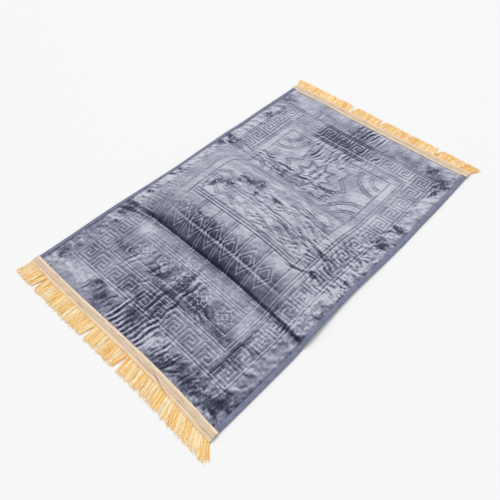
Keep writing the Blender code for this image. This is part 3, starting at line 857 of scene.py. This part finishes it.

# Ragged patches of brushed nap, and of painted shade on the wall and foot of the fold, laid out in
# the same way
BRUSHED_AND_SHADED_PATCHES = (
    # painted shade on the upper wall of the fold
    (350, 385, 210, 20, 0, -0.16), (255, 400, 110, 16, 0, -0.30),
    # brushed spots on the hump
    (272, 583, 34, 13, 8, -0.75), (305, 597, 16, 9, -50, -0.75), (318, 556, 12, 9, 20, -0.60),
    (198, 516, 26, 9, 62, -0.80), (233, 535, 16, 12, 0, -0.75), (178, 485, 20, 4, -71, -0.60),
    (378, 570, 8, 8, 0, -0.50), (420, 572, 60, 6, -3, -0.22), (470, 520, 70, 7, -8, -0.22),
    # painted shade along the far foot of the fold
    (300, 724, 300, 4, 0, -0.26),
    # the left margin
    (24, 742, 18, 12, 0, -0.75), (22, 690, 16, 16, 0, -0.75), (55, 712, 14, 5, -30, -0.50),
    (60, 740, 8, 16, 0, -0.40), (45, 925, 12, 20, 0, -0.50), (35, 300, 30, 12, -12, -0.55),
    (25, 272, 16, 10, 0, -0.60), (30, 372, 14, 8, 0, -0.50), (24, 505, 10, 5, -30, -0.55),
    (24, 472, 14, 5, 15, -0.55), (30, 1040, 20, 26, 20, -0.25),
    # the right margin
    (682, 770, 17, 15, 0, -0.80), (669, 688, 20, 18, 0, -0.85), (697, 715, 6, 5, 0, -0.70),
    (678, 652, 8, 6, 20, -0.60), (654, 772, 6, 12, 0, -0.45), (647, 603, 5, 7, 0, -0.50),
    (678, 508, 22, 5, 0, -0.55), (604, 461, 12, 6, -40, -0.35), (578, 526, 14, 4, -15, -0.50),
    (668, 975, 18, 22, 0, -0.65), (672, 1022, 24, 24, 0, -0.70), (622, 1060, 24, 24, -30, -0.60),
    (690, 380, 10, 24, 0, -0.35),
    # the near end
    (193, 55, 18, 12, 20, -0.60), (228, 40, 20, 14, 0, -0.55), (350, 110, 50, 50, 0, -0.16),
    (150, 182, 42, 14, 5, -0.40), (272, 182, 20, 14, 0, -0.60), (432, 186, 50, 20, -10, -0.60),
    (540, 172, 50, 17, 0, -0.30), (640, 42, 52, 26, 0, -0.34), (590, 20, 30, 16, 0, -0.30),
    (505, 30, 26, 14, 0, -0.35), (250, 100, 24, 22, 0, -0.26), (40, 50, 18, 12, -30, -0.35),
    # the far end
    (345, 985, 80, 24, 0, -0.20), (345, 1052, 46, 34, 0, -0.30), (240, 905, 60, 16, 0, -0.16),
    (540, 1050, 70, 20, -20, -0.18), (240, 740, 90, 14, 0, -0.24), (420, 770, 40, 12, 0, -0.24),
)

BEFORE = (-2000, -1000)
AFTER = (2000, 3000)
NEAR_END_V = (*BEFORE, 60, 90)

# Where the pile is less crushed: bounds of u, bounds of v, by what share
CALM_PLACES = (
    ((*BEFORE, 200, 290), (*BEFORE, 230, 300), 0.45),
    ((630, 650, *AFTER), (60, 95, 265, 290), 0.55),
    ((*BEFORE, 50, 66), (320, 380, *AFTER), 0.45),
    ((640, 655, *AFTER), (740, 790, *AFTER), 0.6),
)

# Where it is more crushed: bounds of u, bounds of v, by how much
CRUSHED_PLACES = (
    ((*BEFORE, *AFTER), NEAR_END_V, 0.2),
    ((240, 300, *AFTER), NEAR_END_V, 0.5),
    ((440, 480, *AFTER), NEAR_END_V, -0.25),
    ((270, 310, 400, 430), (*BEFORE, 240, 290), 0.5),
    ((285, 320, 400, 430), (900, 950, *AFTER), 0.4),
    ((585, 605, 640, 650), (*BEFORE, 640, 720), 0.35),
)


def sum_patches(table, u, v):
    total = np.zeros_like(u)
    for middle_u, middle_v, half_u, half_v, turn, amount in table:
        angle = math.radians(turn)
        a = (u - middle_u) * math.cos(angle) + (v - middle_v) * math.sin(angle)
        b = (v - middle_v) * math.cos(angle) - (u - middle_u) * math.sin(angle)
        total += amount * np.exp(-((a / half_u) ** 2) - (b / half_v) ** 2)
    return total


def even_nap(u, v, inward):
    """How light the nap lies before it is brushed or crushed, from 0 to 1, with painted shade on the
    fold and beside the bindings.
    """
    even = NAP_EVEN - NAP_NEAR_DARKER * (1 - ease(*NAP_NEAR_PART, v))
    even += sum_patches(NAP_TONES_AND_PAINTED_SHADE, u, v)
    for size, seed, amount in NAP_SWELLS:
        even += amount * soft_noise(u, v, size, seed)
    # painted shade in the seams beside the bindings
    at, half_width, darker = SEAM_SHADE
    return even - darker * np.exp(-(((inward - at) / half_width) ** 2))


def crushed_nap(u, v, inward):
    crushed = CRUSHED_EVEN + CRUSHED_NEAR * (1 - ease(*CRUSHED_NEAR_PART, v))
    crushed += CRUSHED_MARGIN * (1 - ease(*CRUSHED_MARGIN_FADE, inward))
    for bounds_u, bounds_v, share in CALM_PLACES:
        crushed *= 1 - share * between(bounds_u, u) * between(bounds_v, v)
    for bounds_u, bounds_v, amount in CRUSHED_PLACES:
        crushed += amount * between(bounds_u, u) * between(bounds_v, v)
    return np.clip(crushed, 0, CRUSHED_LIMIT)


def painted_slope_shade(u, v, uneven):
    """Painted shade: slopes that face the far left are painted lighter, and those that face the near
    end darker.
    """
    slope_u = np.gradient(uneven, axis=0) / np.maximum(np.gradient(u, axis=0), LEAST_SPACING)
    slope_v = np.gradient(uneven, axis=1) / np.maximum(np.gradient(v, axis=1), LEAST_SPACING)
    return np.clip(SLOPE_SHADE_GAIN * (SLOPE_SHADE_ACROSS * slope_u - SLOPE_SHADE_ALONG * slope_v), *SLOPE_SHADE_LIMITS)


def broadened(lines):
    """The pressed lines' weights, spread in part to the points beside them."""
    spread = lines.copy()
    for axis in (0, 1):
        for step in (-1, 1):
            spread = np.maximum(spread, LINE_SPREAD * np.roll(lines, step, axis))
    return spread


def add_nap(mesh, u, v, groove, slope_shading):
    """The three values that the velvet's material reads; u and v in mm."""
    inward = from_edge(u, CLOTH_WIDTH / MM)
    even = even_nap(u, v, inward)
    brushed_and_shaded = sum_patches(BRUSHED_AND_SHADED_PATCHES, u, v)
    tone = GROOVE_TONE + GROOVE_LIGHTER * (1 - ease(*FAR_PART, v))
    tone -= DARK_LINES * between(DARK_LINES_U, u) * ease(*DARK_LINES_V, v)
    pressed = GROOVE_SHARE * groove * (tone - even - brushed_and_shaded)
    # the nap's tone together with painted shade on the fold, beside the bindings and on the slopes
    add_values(mesh, "nap_and_shade", even + pressed + slope_shading)
    add_values(mesh, "brushed_and_shaded", brushed_and_shaded)
    add_values(mesh, "crushed", crushed_nap(u, v, inward))


# ---- Meshes ----


def new_object(name, points, faces, slots, smooth=True):
    mesh = bpy.data.meshes.new(name)
    mesh.from_pydata([tuple(p) for p in points], [], faces)
    for material in slots:
        mesh.materials.append(material)
    if smooth:
        mesh.shade_smooth()
    made = bpy.data.objects.new(name, mesh)
    bpy.context.scene.collection.objects.link(made)
    return made


def add_values(mesh, name, values):
    attribute = mesh.attributes.new(name, "FLOAT", "POINT")
    attribute.data.foreach_set("value", np.asarray(values, np.float32).ravel())


def add_map(mesh, flat):
    """A UV map with the flat place of each point, in metres."""
    layer = mesh.uv_layers.new(name="flat")
    corners = np.empty(len(mesh.loops), np.int32)
    mesh.loops.foreach_get("vertex_index", corners)
    layer.data.foreach_set("uv", np.asarray(flat, np.float32)[corners].ravel())


def split_quads(index, weight):
    """Two triangles per quad, along the diagonal that carries more of the pressed line."""
    a, b, c, d = index[:-1, :-1], index[1:, :-1], index[1:, 1:], index[:-1, 1:]
    first = (weight[:-1, :-1] + weight[1:, 1:]) >= (weight[1:, :-1] + weight[:-1, 1:])
    even = np.stack([np.stack([a, b, c], -1), np.stack([a, c, d], -1)], -2)
    odd = np.stack([np.stack([a, b, d], -1), np.stack([b, c, d], -1)], -2)
    chosen = np.where(first[..., None, None], even, odd)
    return chosen.reshape(-1, 3)


def keep_above(least, height):
    """The height itself where it is well above the least one, and a soft turn to that below."""
    return 0.5 * (height + least + np.sqrt((height - least) ** 2 + least**2))


def pile_heights(u, v, lines):
    """The pile's height over its backing, and the unevenness whose slopes are painted as shade."""
    from_end = np.minimum(v, CLOTH_LENGTH - v)
    field = ease(*FIELD_FADE, from_edge(u)) * ease(*FIELD_END_FADE, from_end)
    thickness = SEWN_THICKNESS + (PILE_THICKNESS - SEWN_THICKNESS) * field
    pressed = LINE_DEPTH * lines
    crumpled = relief(u / MM, v / MM)
    height = keep_above(LEAST_THICKNESS, thickness + field * (crumpled - pressed))
    line_share = LINE_SHADE_NEAR + (LINE_SHADE_FAR - LINE_SHADE_NEAR) * ease(*FAR_PART, v / MM)
    return height, field * (crumpled - line_share * pressed)


def kept_lines(places, always=(0, 0)):
    """One line in a few, and all those in a span, for the plain underside."""
    last = len(places) - 1
    close = (places > always[0]) & (places < always[1])
    return [k for k in range(last + 1) if k % UNDERSIDE_SHARE == 0 or k == last or close[k]]


def rim_face(top_points, under_a, under_b):
    return tuple(int(k) for k in (*top_points, under_a, under_b))


def sheet_faces(grid, kept_across, kept_along):
    """The pile's fine faces, and how many they are, then the underside's and the rim's."""
    rows, columns = grid.groove.shape
    top = np.arange(rows * columns).reshape(rows, columns)
    under = np.arange(len(kept_across) * len(kept_along)).reshape(len(kept_across), -1) + top.size
    faces = [tuple(face) for face in split_quads(top, grid.groove).tolist()]
    covered = len(faces)
    for i in range(under.shape[0] - 1):
        for j in range(under.shape[1] - 1):
            quad = (under[i, j], under[i, j + 1], under[i + 1, j + 1], under[i + 1, j])
            faces.append(tuple(int(k) for k in quad))
    for k in range(len(kept_along) - 1):
        a, b = kept_along[k], kept_along[k + 1]
        faces.append(rim_face(top[0, a:b + 1][::-1], under[0, k], under[0, k + 1]))
        faces.append(rim_face(top[-1, a:b + 1], under[-1, k + 1], under[-1, k]))
    for k in range(len(kept_across) - 1):
        a, b = kept_across[k], kept_across[k + 1]
        faces.append(rim_face(top[a:b + 1, 0], under[k + 1, 0], under[k, 0]))
        faces.append(rim_face(top[a:b + 1, -1][::-1], under[k, -1], under[k + 1, -1]))
    return faces, covered


def add_cloth(surface, velvet, backing):
    grid = PressedGrid()
    for polyline in border_lines() + centre_lines():
        grid.press(polyline)
    u = grid.place[..., 0] * MM
    v = grid.place[..., 1] * MM
    bent = surface.follow_tapes(u, v)
    lines = grid.groove * line_strength(u / MM, v / MM)
    height, uneven = pile_heights(u, v, lines)
    upper = surface.point(u, bent) + surface.normal(u, bent) * height[..., None]
    kept_across = kept_lines(grid.across)
    kept_along = kept_lines(grid.along, CREASE_SPAN)
    chosen = np.ix_(kept_across, kept_along)
    lower = surface.point(u[chosen], bent[chosen])
    faces, covered = sheet_faces(grid, kept_across, kept_along)
    points = np.concatenate([upper.reshape(-1, 3), lower.reshape(-1, 3)])
    made = new_object("velvet_cloth", points + surface.shift, faces, (velvet, backing))
    flat_u = np.concatenate([u.ravel(), u[chosen].ravel()])
    flat_v = np.concatenate([v.ravel(), v[chosen].ravel()])
    add_map(made.data, np.stack([flat_u, flat_v], -1))
    far = ease(*FAR_PART, v / MM)
    groove = lines * (1 - far) + broadened(lines) * far
    plain = np.zeros(u[chosen].size)
    groove = np.concatenate([groove.ravel(), plain])
    # painted shade on the slopes of the crumples and the pressed lines
    slope_shading = np.concatenate([painted_slope_shade(u, v, uneven).ravel(), plain])
    add_nap(made.data, flat_u / MM, flat_v / MM, groove, slope_shading)
    under = np.zeros(len(faces), np.int32)
    under[covered:] = 1
    made.data.polygons.foreach_set("material_index", under)
    return made


def swept_faces(stations, corners):
    """The sides and both caps of a run of sections."""
    faces = []
    for start in range(0, (stations - 1) * corners, corners):
        for k in range(corners):
            after = (k + 1) % corners
            faces.append((start + k, start + corners + k, start + corners + after, start + after))
    faces.append(tuple(range(corners)))
    faces.append(tuple(range((stations - 1) * corners, stations * corners))[::-1])
    return faces


def binding_profile():
    """The folded strip's section: distance in from the cloth's edge, height over its underside."""
    outer = GAP + BINDING_THICKNESS
    top = SEWN_THICKNESS
    made = [(BINDING_WIDTH, -outer), (BINDING_CROWN_AT, -outer), (BINDING_TURN, -outer)]
    for angle in range(-70, 71, 20):
        turn = math.radians(angle)
        inward = BINDING_TURN_MIDDLE - (outer + BINDING_TURN_MIDDLE) * math.cos(turn)
        made.append((inward, top / 2 + (top / 2 + outer) * math.sin(turn)))
    made.append((BINDING_TURN, top + outer))
    made.append((BINDING_CROWN_AT, top + outer + BINDING_CROWN))
    made.append((BINDING_WIDTH - BINDING_BEVEL, top + outer))
    made.append((BINDING_WIDTH, top + outer - BINDING_BEVEL))
    made += [(BINDING_WIDTH, top + GAP), (-GAP, top + GAP), (-GAP, -GAP), (BINDING_WIDTH, -GAP)]
    return np.array(made)


def unit(vectors):
    return vectors / np.linalg.norm(vectors, axis=-1, keepdims=True)


def add_binding(name, surface, left, material):
    v = np.linspace(-TUCK, CLOTH_LENGTH + TUCK, BINDING_STATIONS)
    u = np.full_like(v, 0 if left else CLOTH_WIDTH)
    inside = u + (BINDING_ACROSS if left else -BINDING_ACROSS)
    bent = surface.follow_tapes(u, v)
    edge = surface.point(u, bent)
    inward = unit(surface.point(inside, bent) - edge)
    up = np.cross(inward, np.gradient(edge, axis=0))
    up = unit(up * np.sign(up[:, 2:]))
    profile = binding_profile()
    aside = profile[None, :, :1] * inward[:, None]
    above = profile[None, :, 1:] * up[:, None]
    sections = edge[:, None] + aside + above
    faces = swept_faces(len(v), len(profile))
    if not left:
        faces = [face[::-1] for face in faces]
    made = new_object(name, sections.reshape(-1, 3) + surface.shift, faces, (material,))
    girth = np.cumsum(np.linalg.norm(np.diff(profile, axis=0), axis=1))
    girth = np.concatenate([[0], girth])
    add_map(made.data, np.stack(np.meshgrid(v, girth, indexing="ij"), -1).reshape(-1, 2))
    return made


# ---- The two ends ----

# Puckers of the tapes, as the wrinkles' rows, but with the distance out from the inner edge for v
NEAR_PLEATS = (
    (488, 7, 562, 25, 3, 2.4, 2.2), (494, 13, 554, 30, 3, 2.6, -1.1), (440, 16, 500, 12, 0, 4, 0.7),
    (180, 4, 260, 22, 3, 3.5, 0.6), (560, 6, 640, 18, -3, 3.0, 0.6),
)
FAR_PLEATS = (
    (285, 3, 330, 24, 3, 3.0, 0.9), (345, 2, 380, 22, -3, 3.0, 0.8), (150, 4, 205, 20, 4, 3.5, 0.7),
    (300, 10, 350, 27, 2, 3.0, -0.7),
)

End = namedtuple("End", "tape tips notches pleats outward y tape_seed yarn_seed darker")
NEAR_END = End(NEAR_TAPE, NEAR_TIPS, NEAR_NOTCHES, NEAR_PLEATS, -1, 0.0, 21, 31, 0)
FAR_END = End(FAR_TAPE, FAR_TIPS, FAR_NOTCHES, FAR_PLEATS, 1, CLOTH_LENGTH - TAPE_WIDTH, 22, 32, 0.15)


def end_places(end, share):
    """Places across one end, the bindings included; share runs from 0 to 1."""
    proud = BINDING_THICKNESS + GAP
    left = read_table(OUTLINE, 1, end.y) - proud
    right = read_table(OUTLINE, 2, end.y) + proud
    x = left + (right - left) * share
    return x, read_table(end.tape, 1, x)


def tape_bed(inward):
    """The height of what the tape lies on, at a distance from the cloth's long edge."""
    over_binding = (BINDING_THICKNESS + GAP) * (1 - ease(*TAPE_OVER_BINDING, inward))
    return SEWN_THICKNESS + binding_lift(inward) + over_binding


def tape_underside(end, reach):
    """Over the cloth first, and lower where only the fringe's strip is under it."""
    share = np.linspace(0, 1, TAPE_STATIONS)
    x, inner_y = end_places(end, share)
    high = tape_bed(from_edge(share * CLOTH_WIDTH)) + GAP
    drop = ease(STRIP_START, STRIP_START + TAPE_DROP, reach)
    x, out = np.meshgrid(x, reach, indexing="ij")
    height = high[:, None] * (1 - drop) + (SEWN_THICKNESS + GAP) * drop
    return np.stack([x, inner_y[:, None] + end.outward * out, height], axis=-1)


def tape_swell(end, across, out):
    """The tape's ribs, puckers and long waves; across and out in mm."""
    size, height = TAPE_SWELL
    spacing, rib_height = TAPE_RIBS
    swell = height * MM * soft_noise(across, out, size, end.tape_seed)
    swell += rib_height * MM * np.cos(out * 2 * math.pi / spacing)
    for row in end.pleats:
        swell += wrinkle(across, out, row)
    return swell * between(TAPE_EDGES, out)


def slab_faces(rows, columns, mirrored):
    """An upper and a lower grid of triangles, and the rim between them."""
    size = rows * columns
    index = np.arange(size).reshape(rows, columns)
    top = split_quads(index, np.zeros((rows, columns))).tolist()
    faces = [tuple(face) for face in top]
    faces += [tuple(k + size for k in face[::-1]) for face in top]
    rim = [*index[:, 0], *index[-1, 1:], *index[-2::-1, -1], *index[0, -2:0:-1]]
    rim = [int(k) for k in rim]
    for a, b in zip(rim, rim[1:] + rim[:1]):
        faces.append((a + size, b + size, b, a))
    return [face[::-1] for face in faces] if mirrored else faces


def add_tape(name, surface, end, material):
    """A ribbed woven tape from its inner edge out to the fringe's roots."""
    reach = np.linspace(0, TAPE_WIDTH, TAPE_LINES)
    lower = tape_underside(end, reach)
    across, out = np.meshgrid(lower[:, 0, 0] / MM, reach / MM, indexing="ij")
    swell = tape_swell(end, across, out)
    upper = lower.copy()
    upper[..., 2] += keep_above(TAPE_LEAST, TAPE_THICKNESS + swell)
    points = np.concatenate([upper.reshape(-1, 3), lower.reshape(-1, 3)])
    faces = slab_faces(*across.shape, mirrored=end.outward < 0)
    made = new_object(name, points + surface.shift, faces, (material,))
    flat = np.stack([across * MM, out * MM], -1).reshape(-1, 2)
    add_map(made.data, np.concatenate([flat, flat]))
    # painted shade: the sides of ribs and puckers that face out are painted darker
    facing_out = np.clip(-TAPE_SHADE * np.gradient(swell, axis=1) / np.gradient(reach), 0, 1)
    add_values(made.data, "shade", np.concatenate([facing_out.ravel(), np.zeros(across.size)]))
    return made


def notch_push(x, notches):
    """How far a tip at x is pushed aside by the partings of the fringe."""
    push = np.zeros_like(x)
    for place in notches:
        away = x - place * MM
        push += np.sign(away) * YARN_PUSH * np.exp(-abs(away) / NOTCH_REACH)
    return push


def calm_beside(x, notches):
    """1 at a parting of the fringe, where the tips are in order, and 0 well away from it."""
    away = np.min([abs(x - place * MM) for place in notches], axis=0)
    return np.exp(-((away / CALM_REACH) ** 2))


def yarn_points(root, tip, curl, wave, layer):
    """Three-sided yarns from their roots to their tips, with a slow and a quick wave."""
    share = np.linspace(0, 1, YARN_STATIONS)
    curl, wave, layer = curl[:, None], wave[:, None], layer[:, None]
    x = root[0][:, None] + (tip[0] - root[0])[:, None] * share**1.25
    x += curl * (np.sin(share * 5 + wave) + 0.6 * np.sin(share * 12 + 2 * wave)) * share
    y = root[1][:, None] + (tip[1] - root[1])[:, None] * share
    height = (YARN_PILE[0] + YARN_PILE[1] * layer) * MM * (1 - 0.55 * share**2)
    z = YARN_HALF_HEIGHT + height * (0.35 + 0.65 * np.cos(share * 1.2))
    width = YARN_HALF_WIDTH * np.where(layer < UNDERCOAT_SHARE, UNDERCOAT_WIDTH, 1)
    half = width * (1 - YARN_TAPER * share**2)
    turns = 2 * math.pi * np.arange(YARN_CORNERS) / YARN_CORNERS + 0.5
    x = x[..., None] + half[..., None] * np.cos(turns)
    y = np.repeat(y[..., None], YARN_CORNERS, axis=-1)
    z = np.maximum(z[..., None] + YARN_HALF_HEIGHT * np.sin(turns), 0)
    return np.stack([x, y, z], -1).reshape(-1, 3)


def add_fringe(name, surface, end, material):
    """Fine yarns from under the tape, each with its own tone and painted darker the lower it lies;
    the lowest are an undercoat painted dark as the shade among the yarns.
    """
    rolls = np.random.RandomState(end.yarn_seed)
    low, high = end_places(end, np.array([0.0, 1.0]))[0]
    root_x = np.sort(rolls.uniform(low + YARN_INSET, high - YARN_INSET, YARNS))
    root_y = read_table(end.tape, 1, root_x) + end.outward * (STRIP_START + TAPE_DROP)
    past_tips = rolls.normal(-YARN_SHORT, YARN_SPREAD_ALONG, YARNS) * MM
    tip_y = read_table(end.tips, 1, root_x) + end.outward * past_tips
    tip_x = root_x + read_table(end.tips, 2, root_x) + notch_push(root_x, end.notches)
    loose = 1 - YARN_CALM * calm_beside(root_x, end.notches)
    tip_x += rolls.normal(0, YARN_SPREAD_ACROSS, YARNS) * MM * loose
    layer = rolls.uniform(0, 1, YARNS)
    lowest = layer < UNDERCOAT_SHARE
    tip_y -= end.outward * np.where(lowest, UNDERCOAT_SHORT, 0)
    curl = rolls.normal(0, YARN_CURL, YARNS) * MM
    wave = rolls.uniform(0, 2 * math.pi, YARNS)
    clump = 0.5 + 0.38 * soft_noise(root_x / MM, np.zeros(YARNS), YARN_CLUMP, end.yarn_seed)
    # higher yarns painted lighter and lower ones darker, as painted shade
    tones = SHADE_BY_HEIGHT * layer + TONE_BY_CLUMP * clump
    tones = tones + rolls.uniform(*YARN_TONES, YARNS) - end.darker
    points = yarn_points((root_x, root_y), (tip_x, tip_y), curl, wave, layer) + surface.shift
    size = YARN_STATIONS * YARN_CORNERS
    one_yarn = swept_faces(YARN_STATIONS, YARN_CORNERS)
    faces = []
    for base in range(0, len(points), size):
        faces += [tuple(base + k for k in face) for face in one_yarn]
    made = new_object(name, points, faces, (material,), smooth=False)
    # the undercoat painted dark, as painted shade among the yarns
    add_values(made.data, "tone", np.repeat(np.where(lowest, UNDERCOAT_PAINTED_SHADE, tones), size))
    return made


# ---- Materials ----


class Look:
    """A material, with short ways to add nodes to it."""

    def __init__(self, name):
        self.material = bpy.data.materials.new(name)
        self.material.use_nodes = True
        self.nodes = self.material.node_tree.nodes
        self.shader = self.nodes["Principled BSDF"]

    def put(self, node, inputs):
        """Each input gets a link from another node's output, or its own number or colour."""
        for name, value in inputs.items():
            if isinstance(value, bpy.types.NodeSocket):
                self.material.node_tree.links.new(value, node.inputs[name])
            else:
                node.inputs[name].default_value = value

    def combine(self, operation, first, second=0.0):
        node = self.nodes.new("ShaderNodeMath")
        node.operation = operation
        self.put(node, {0: first, 1: second})
        return node.outputs[0]

    def noise(self, vector, scale, detail, distortion=0.0):
        node = self.nodes.new("ShaderNodeTexNoise")
        node.noise_dimensions = "2D"
        sizes = {"Scale": scale, "Detail": detail, "Distortion": distortion}
        self.put(node, {"Vector": vector, **sizes})
        return node.outputs[0]

    def flat(self, scale=(1, 1, 1), turn=0.0):
        """The flat map's coordinates, stretched and turned."""
        source = self.nodes.new("ShaderNodeUVMap")
        source.uv_map = "flat"
        node = self.nodes.new("ShaderNodeMapping")
        self.put(node, {"Vector": source.outputs["UV"], "Scale": scale})
        self.put(node, {"Rotation": (0, 0, math.radians(turn))})
        return node.outputs[0]

    def split(self, vector):
        node = self.nodes.new("ShaderNodeSeparateXYZ")
        self.put(node, {0: vector})
        return node.outputs

    def stored(self, name):
        """A value that a mesh brings for each of its points."""
        node = self.nodes.new("ShaderNodeAttribute")
        node.attribute_name = name
        return node.outputs["Fac"]

    def ramp(self, value, stops):
        node = self.nodes.new("ShaderNodeValToRGB")
        elements = node.color_ramp.elements
        while len(elements) < len(stops):
            elements.new(0.5)
        for element, (place, colour) in zip(elements, stops):
            element.position = place
            element.color = (*colour, 1)
        self.put(node, {0: value})
        return node.outputs[0]

    def tint(self, colour, tint, factor):
        node = self.nodes.new("ShaderNodeMix")
        node.data_type = "RGBA"
        node.blend_type = "MULTIPLY"
        self.put(node, {"Factor": factor, "A": colour, "B": tint})
        return node.outputs["Result"]

    def bump(self, height, distance, strength):
        node = self.nodes.new("ShaderNodeBump")
        self.put(node, {"Height": height, "Distance": distance, "Strength": strength})
        return node


def velvet_tone(look, crumple, fine):
    """The pile's tone from its lie and the shade painted on it, ragged where it is brushed and patchy
    where it is crushed.
    """
    patches = look.noise(look.flat(), *PATCH_NOISE)
    streaks = look.noise(look.flat(*STREAK_FLAT), *STREAK_NOISE)
    ragged = look.noise(look.flat(*RAGGED_FLAT), *RAGGED_NOISE)
    sharp = look.combine("ADD", look.combine("MULTIPLY", ragged, RAGGED_GAIN), RAGGED_LEVEL)
    edge = look.combine("MAXIMUM", sharp, 0)
    brushed_and_shaded = look.combine("MULTIPLY", look.stored("brushed_and_shaded"), edge)
    dark = look.combine("MINIMUM", look.combine("SUBTRACT", patches, PATCH_LEVEL), PATCH_LIGHTEST)
    dark = look.combine("MULTIPLY", dark, PATCH_GAIN)
    light = look.combine("SUBTRACT", look.combine("ADD", streaks, crumple), CRUSH_LEVEL)
    light = look.combine("MULTIPLY", light, CRUSH_GAIN)
    crushed = look.combine("MULTIPLY", look.stored("crushed"), look.combine("ADD", dark, light))
    grain = look.combine("MULTIPLY", look.combine("SUBTRACT", fine, 0.5), FINE_GAIN)
    tone = look.combine("ADD", look.stored("nap_and_shade"), brushed_and_shaded)
    return look.combine("ADD", look.combine("ADD", tone, crushed), grain)


def velvet_material():
    look = Look("velvet")
    flat = look.flat()
    crumple = look.noise(flat, *CRUMPLE_NOISE)
    fine = look.noise(flat, *FINE_NOISE)
    coarse_bump = look.bump(crumple, *CRUMPLE_BUMP)
    fine_bump = look.bump(fine, *FINE_BUMP)
    look.put(fine_bump, {"Normal": coarse_bump.outputs[0]})
    look.put(look.shader, {
        "Base Color": look.ramp(velvet_tone(look, crumple, fine), VELVET_TONES),
        "Roughness": 0.55,
        "Specular IOR Level": 0.4,
        "Specular Tint": VELVET_TINT,
        "Sheen Weight": 0.18,
        "Sheen Roughness": 0.35,
        "Sheen Tint": VELVET_SHEEN_TINT,
        "Normal": fine_bump.outputs[0],
    })
    return look.material


def plain_cloth_material(name, tones, weave):
    """A woven cloth: two tones and a fine square weave."""
    look = Look(name)
    flat = look.flat()
    split = look.split(flat)
    waves = []
    for axis in (0, 1):
        waves.append(look.combine("SINE", look.combine("MULTIPLY", split[axis], weave[axis])))
    threads = look.bump(look.combine("MULTIPLY", *waves), *WEAVE_BUMP)
    look.put(look.shader, {
        "Base Color": look.ramp(look.noise(flat, *CLOTH_NOISE), tones),
        "Roughness": 0.8,
        "Sheen Weight": 0.1,
        "Normal": threads.outputs[0],
    })
    return look.material


def tape_material():
    """A ribbed tape: golden edges, pale in between, with darker warp lines past its middle and
    painted shade on the outer sides of its ribs and puckers.
    """
    look = Look("tape")
    out = look.split(look.flat((1, 1 / TAPE_WIDTH, 1)))[1]
    wobble = look.noise(look.flat(WOBBLE_FLAT), 1, 3)
    place = look.combine("ADD", out, look.combine("MULTIPLY", wobble, WOBBLE_GAIN))
    grain = look.combine("MULTIPLY", look.noise(look.flat(GRAIN_FLAT), 1, 3), GRAIN_GAIN)
    streaks = look.noise(look.flat(THIN_FLAT), 1, 2)
    thin = look.combine("MAXIMUM", look.combine("SUBTRACT", streaks, THIN_LEVEL), 0)
    warp_and_shade = look.combine("ADD", look.combine("MULTIPLY", thin, THIN_GAIN), grain)
    # painted shade from the ribs' and puckers' slopes, added to the warp lines' and grain's darkening
    warp_and_shade = look.combine("ADD", warp_and_shade, look.stored("shade"))
    ribs = look.bump(look.combine("SINE", look.combine("MULTIPLY", out, RIB_TURNS)), *RIB_BUMP)
    look.put(look.shader, {
        "Base Color": look.tint(look.ramp(place, TAPE_TONES), TAPE_WARP_AND_SHADE_TINT, warp_and_shade),
        "Roughness": 0.7,
        "Sheen Weight": 0.2,
        "Normal": ribs.outputs[0],
    })
    return look.material


def fringe_material():
    look = Look("fringe")
    look.put(look.shader, {
        "Base Color": look.ramp(look.stored("tone"), FRINGE_TONES),
        "Roughness": 0.5,
        "Sheen Weight": 0.1,
    })
    return look.material


def floor_material():
    look = Look("pale_floor")
    look.put(look.shader, {
        "Base Color": FLOOR_COLOUR,
        "Roughness": 0.7,
        "Specular IOR Level": 0.2,
    })
    return look.material


# ---- Scene ----


def add_floor():
    half = FLOOR_HALF
    points = [(-half, -half, 0), (half, -half, 0), (half, half, 0), (-half, half, 0)]
    floor = new_object("floor", points, [(0, 1, 2, 3)], (floor_material(),), smooth=False)
    floor.location.z = -FLOOR_DROP


def add_light():
    """Even light from all round, and one wide soft light from beyond the rug's far left."""
    world = bpy.data.worlds.new("studio")
    world.use_nodes = True
    background = world.node_tree.nodes["Background"]
    background.inputs["Color"].default_value = STUDIO_COLOUR
    background.inputs["Strength"].default_value = STUDIO_STRENGTH
    bpy.context.scene.world = world
    data = bpy.data.lights.new("soft_light", "SUN")
    data.energy = LIGHT_ENERGY
    data.angle = math.radians(LIGHT_ANGLE)
    light = bpy.data.objects.new("soft_light", data)
    bpy.context.scene.collection.objects.link(light)
    light.rotation_euler = Vector(LIGHT_FROM).to_track_quat("Z", "Y").to_euler()


def add_camera():
    data = bpy.data.cameras.new("camera")
    data.lens = CAMERA_LENS
    data.sensor_width = CAMERA_SENSOR
    data.sensor_fit = "HORIZONTAL"
    camera = bpy.data.objects.new("camera", data)
    bpy.context.scene.collection.objects.link(camera)
    right = np.array(CAMERA_RIGHT)
    up = np.array(CAMERA_UP)
    back = np.cross(right, up)
    rows = [(*(float(axis[k]) for axis in (right, up, back)), CAMERA_PLACE[k]) for k in range(3)]
    camera.matrix_world = Matrix([*rows, (0, 0, 0, 1)])
    bpy.context.scene.camera = camera


def add_pieces(surface):
    """Each piece, with the solid that it replaces and its slot."""
    velvet = velvet_material()
    backing = plain_cloth_material("backing", BACKING_TONES, BACKING_WEAVE)
    binding = plain_cloth_material("binding", BINDING_TONES, BINDING_WEAVE)
    tape = tape_material()
    yarn = fringe_material()
    return (
        (add_cloth(surface, velvet, backing), "pile_cloth", "velvet"),
        (add_binding("edge_binding_left", surface, True, binding), "binding_left", "binding"),
        (add_binding("edge_binding_right", surface, False, binding), "binding_right", "binding"),
        (add_tape("heading_near", surface, NEAR_END, tape), "tape_near", "tape"),
        (add_tape("heading_far", surface, FAR_END, tape), "tape_far", "tape"),
        (add_fringe("yarns_near", surface, NEAR_END, yarn), "fringe_near", "fringe"),
        (add_fringe("yarns_far", surface, FAR_END, yarn), "fringe_far", "fringe"),
    )


def main():
    for old in list(bpy.data.objects):
        bpy.data.objects.remove(old, do_unlink=True)
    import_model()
    pieces = add_pieces(Surface())
    for piece, node, slot in pieces:
        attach(piece, "root")
        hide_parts(node)
    add_floor()
    add_light()
    add_camera()
    bpy.context.scene.view_settings.view_transform = "Standard"


main()
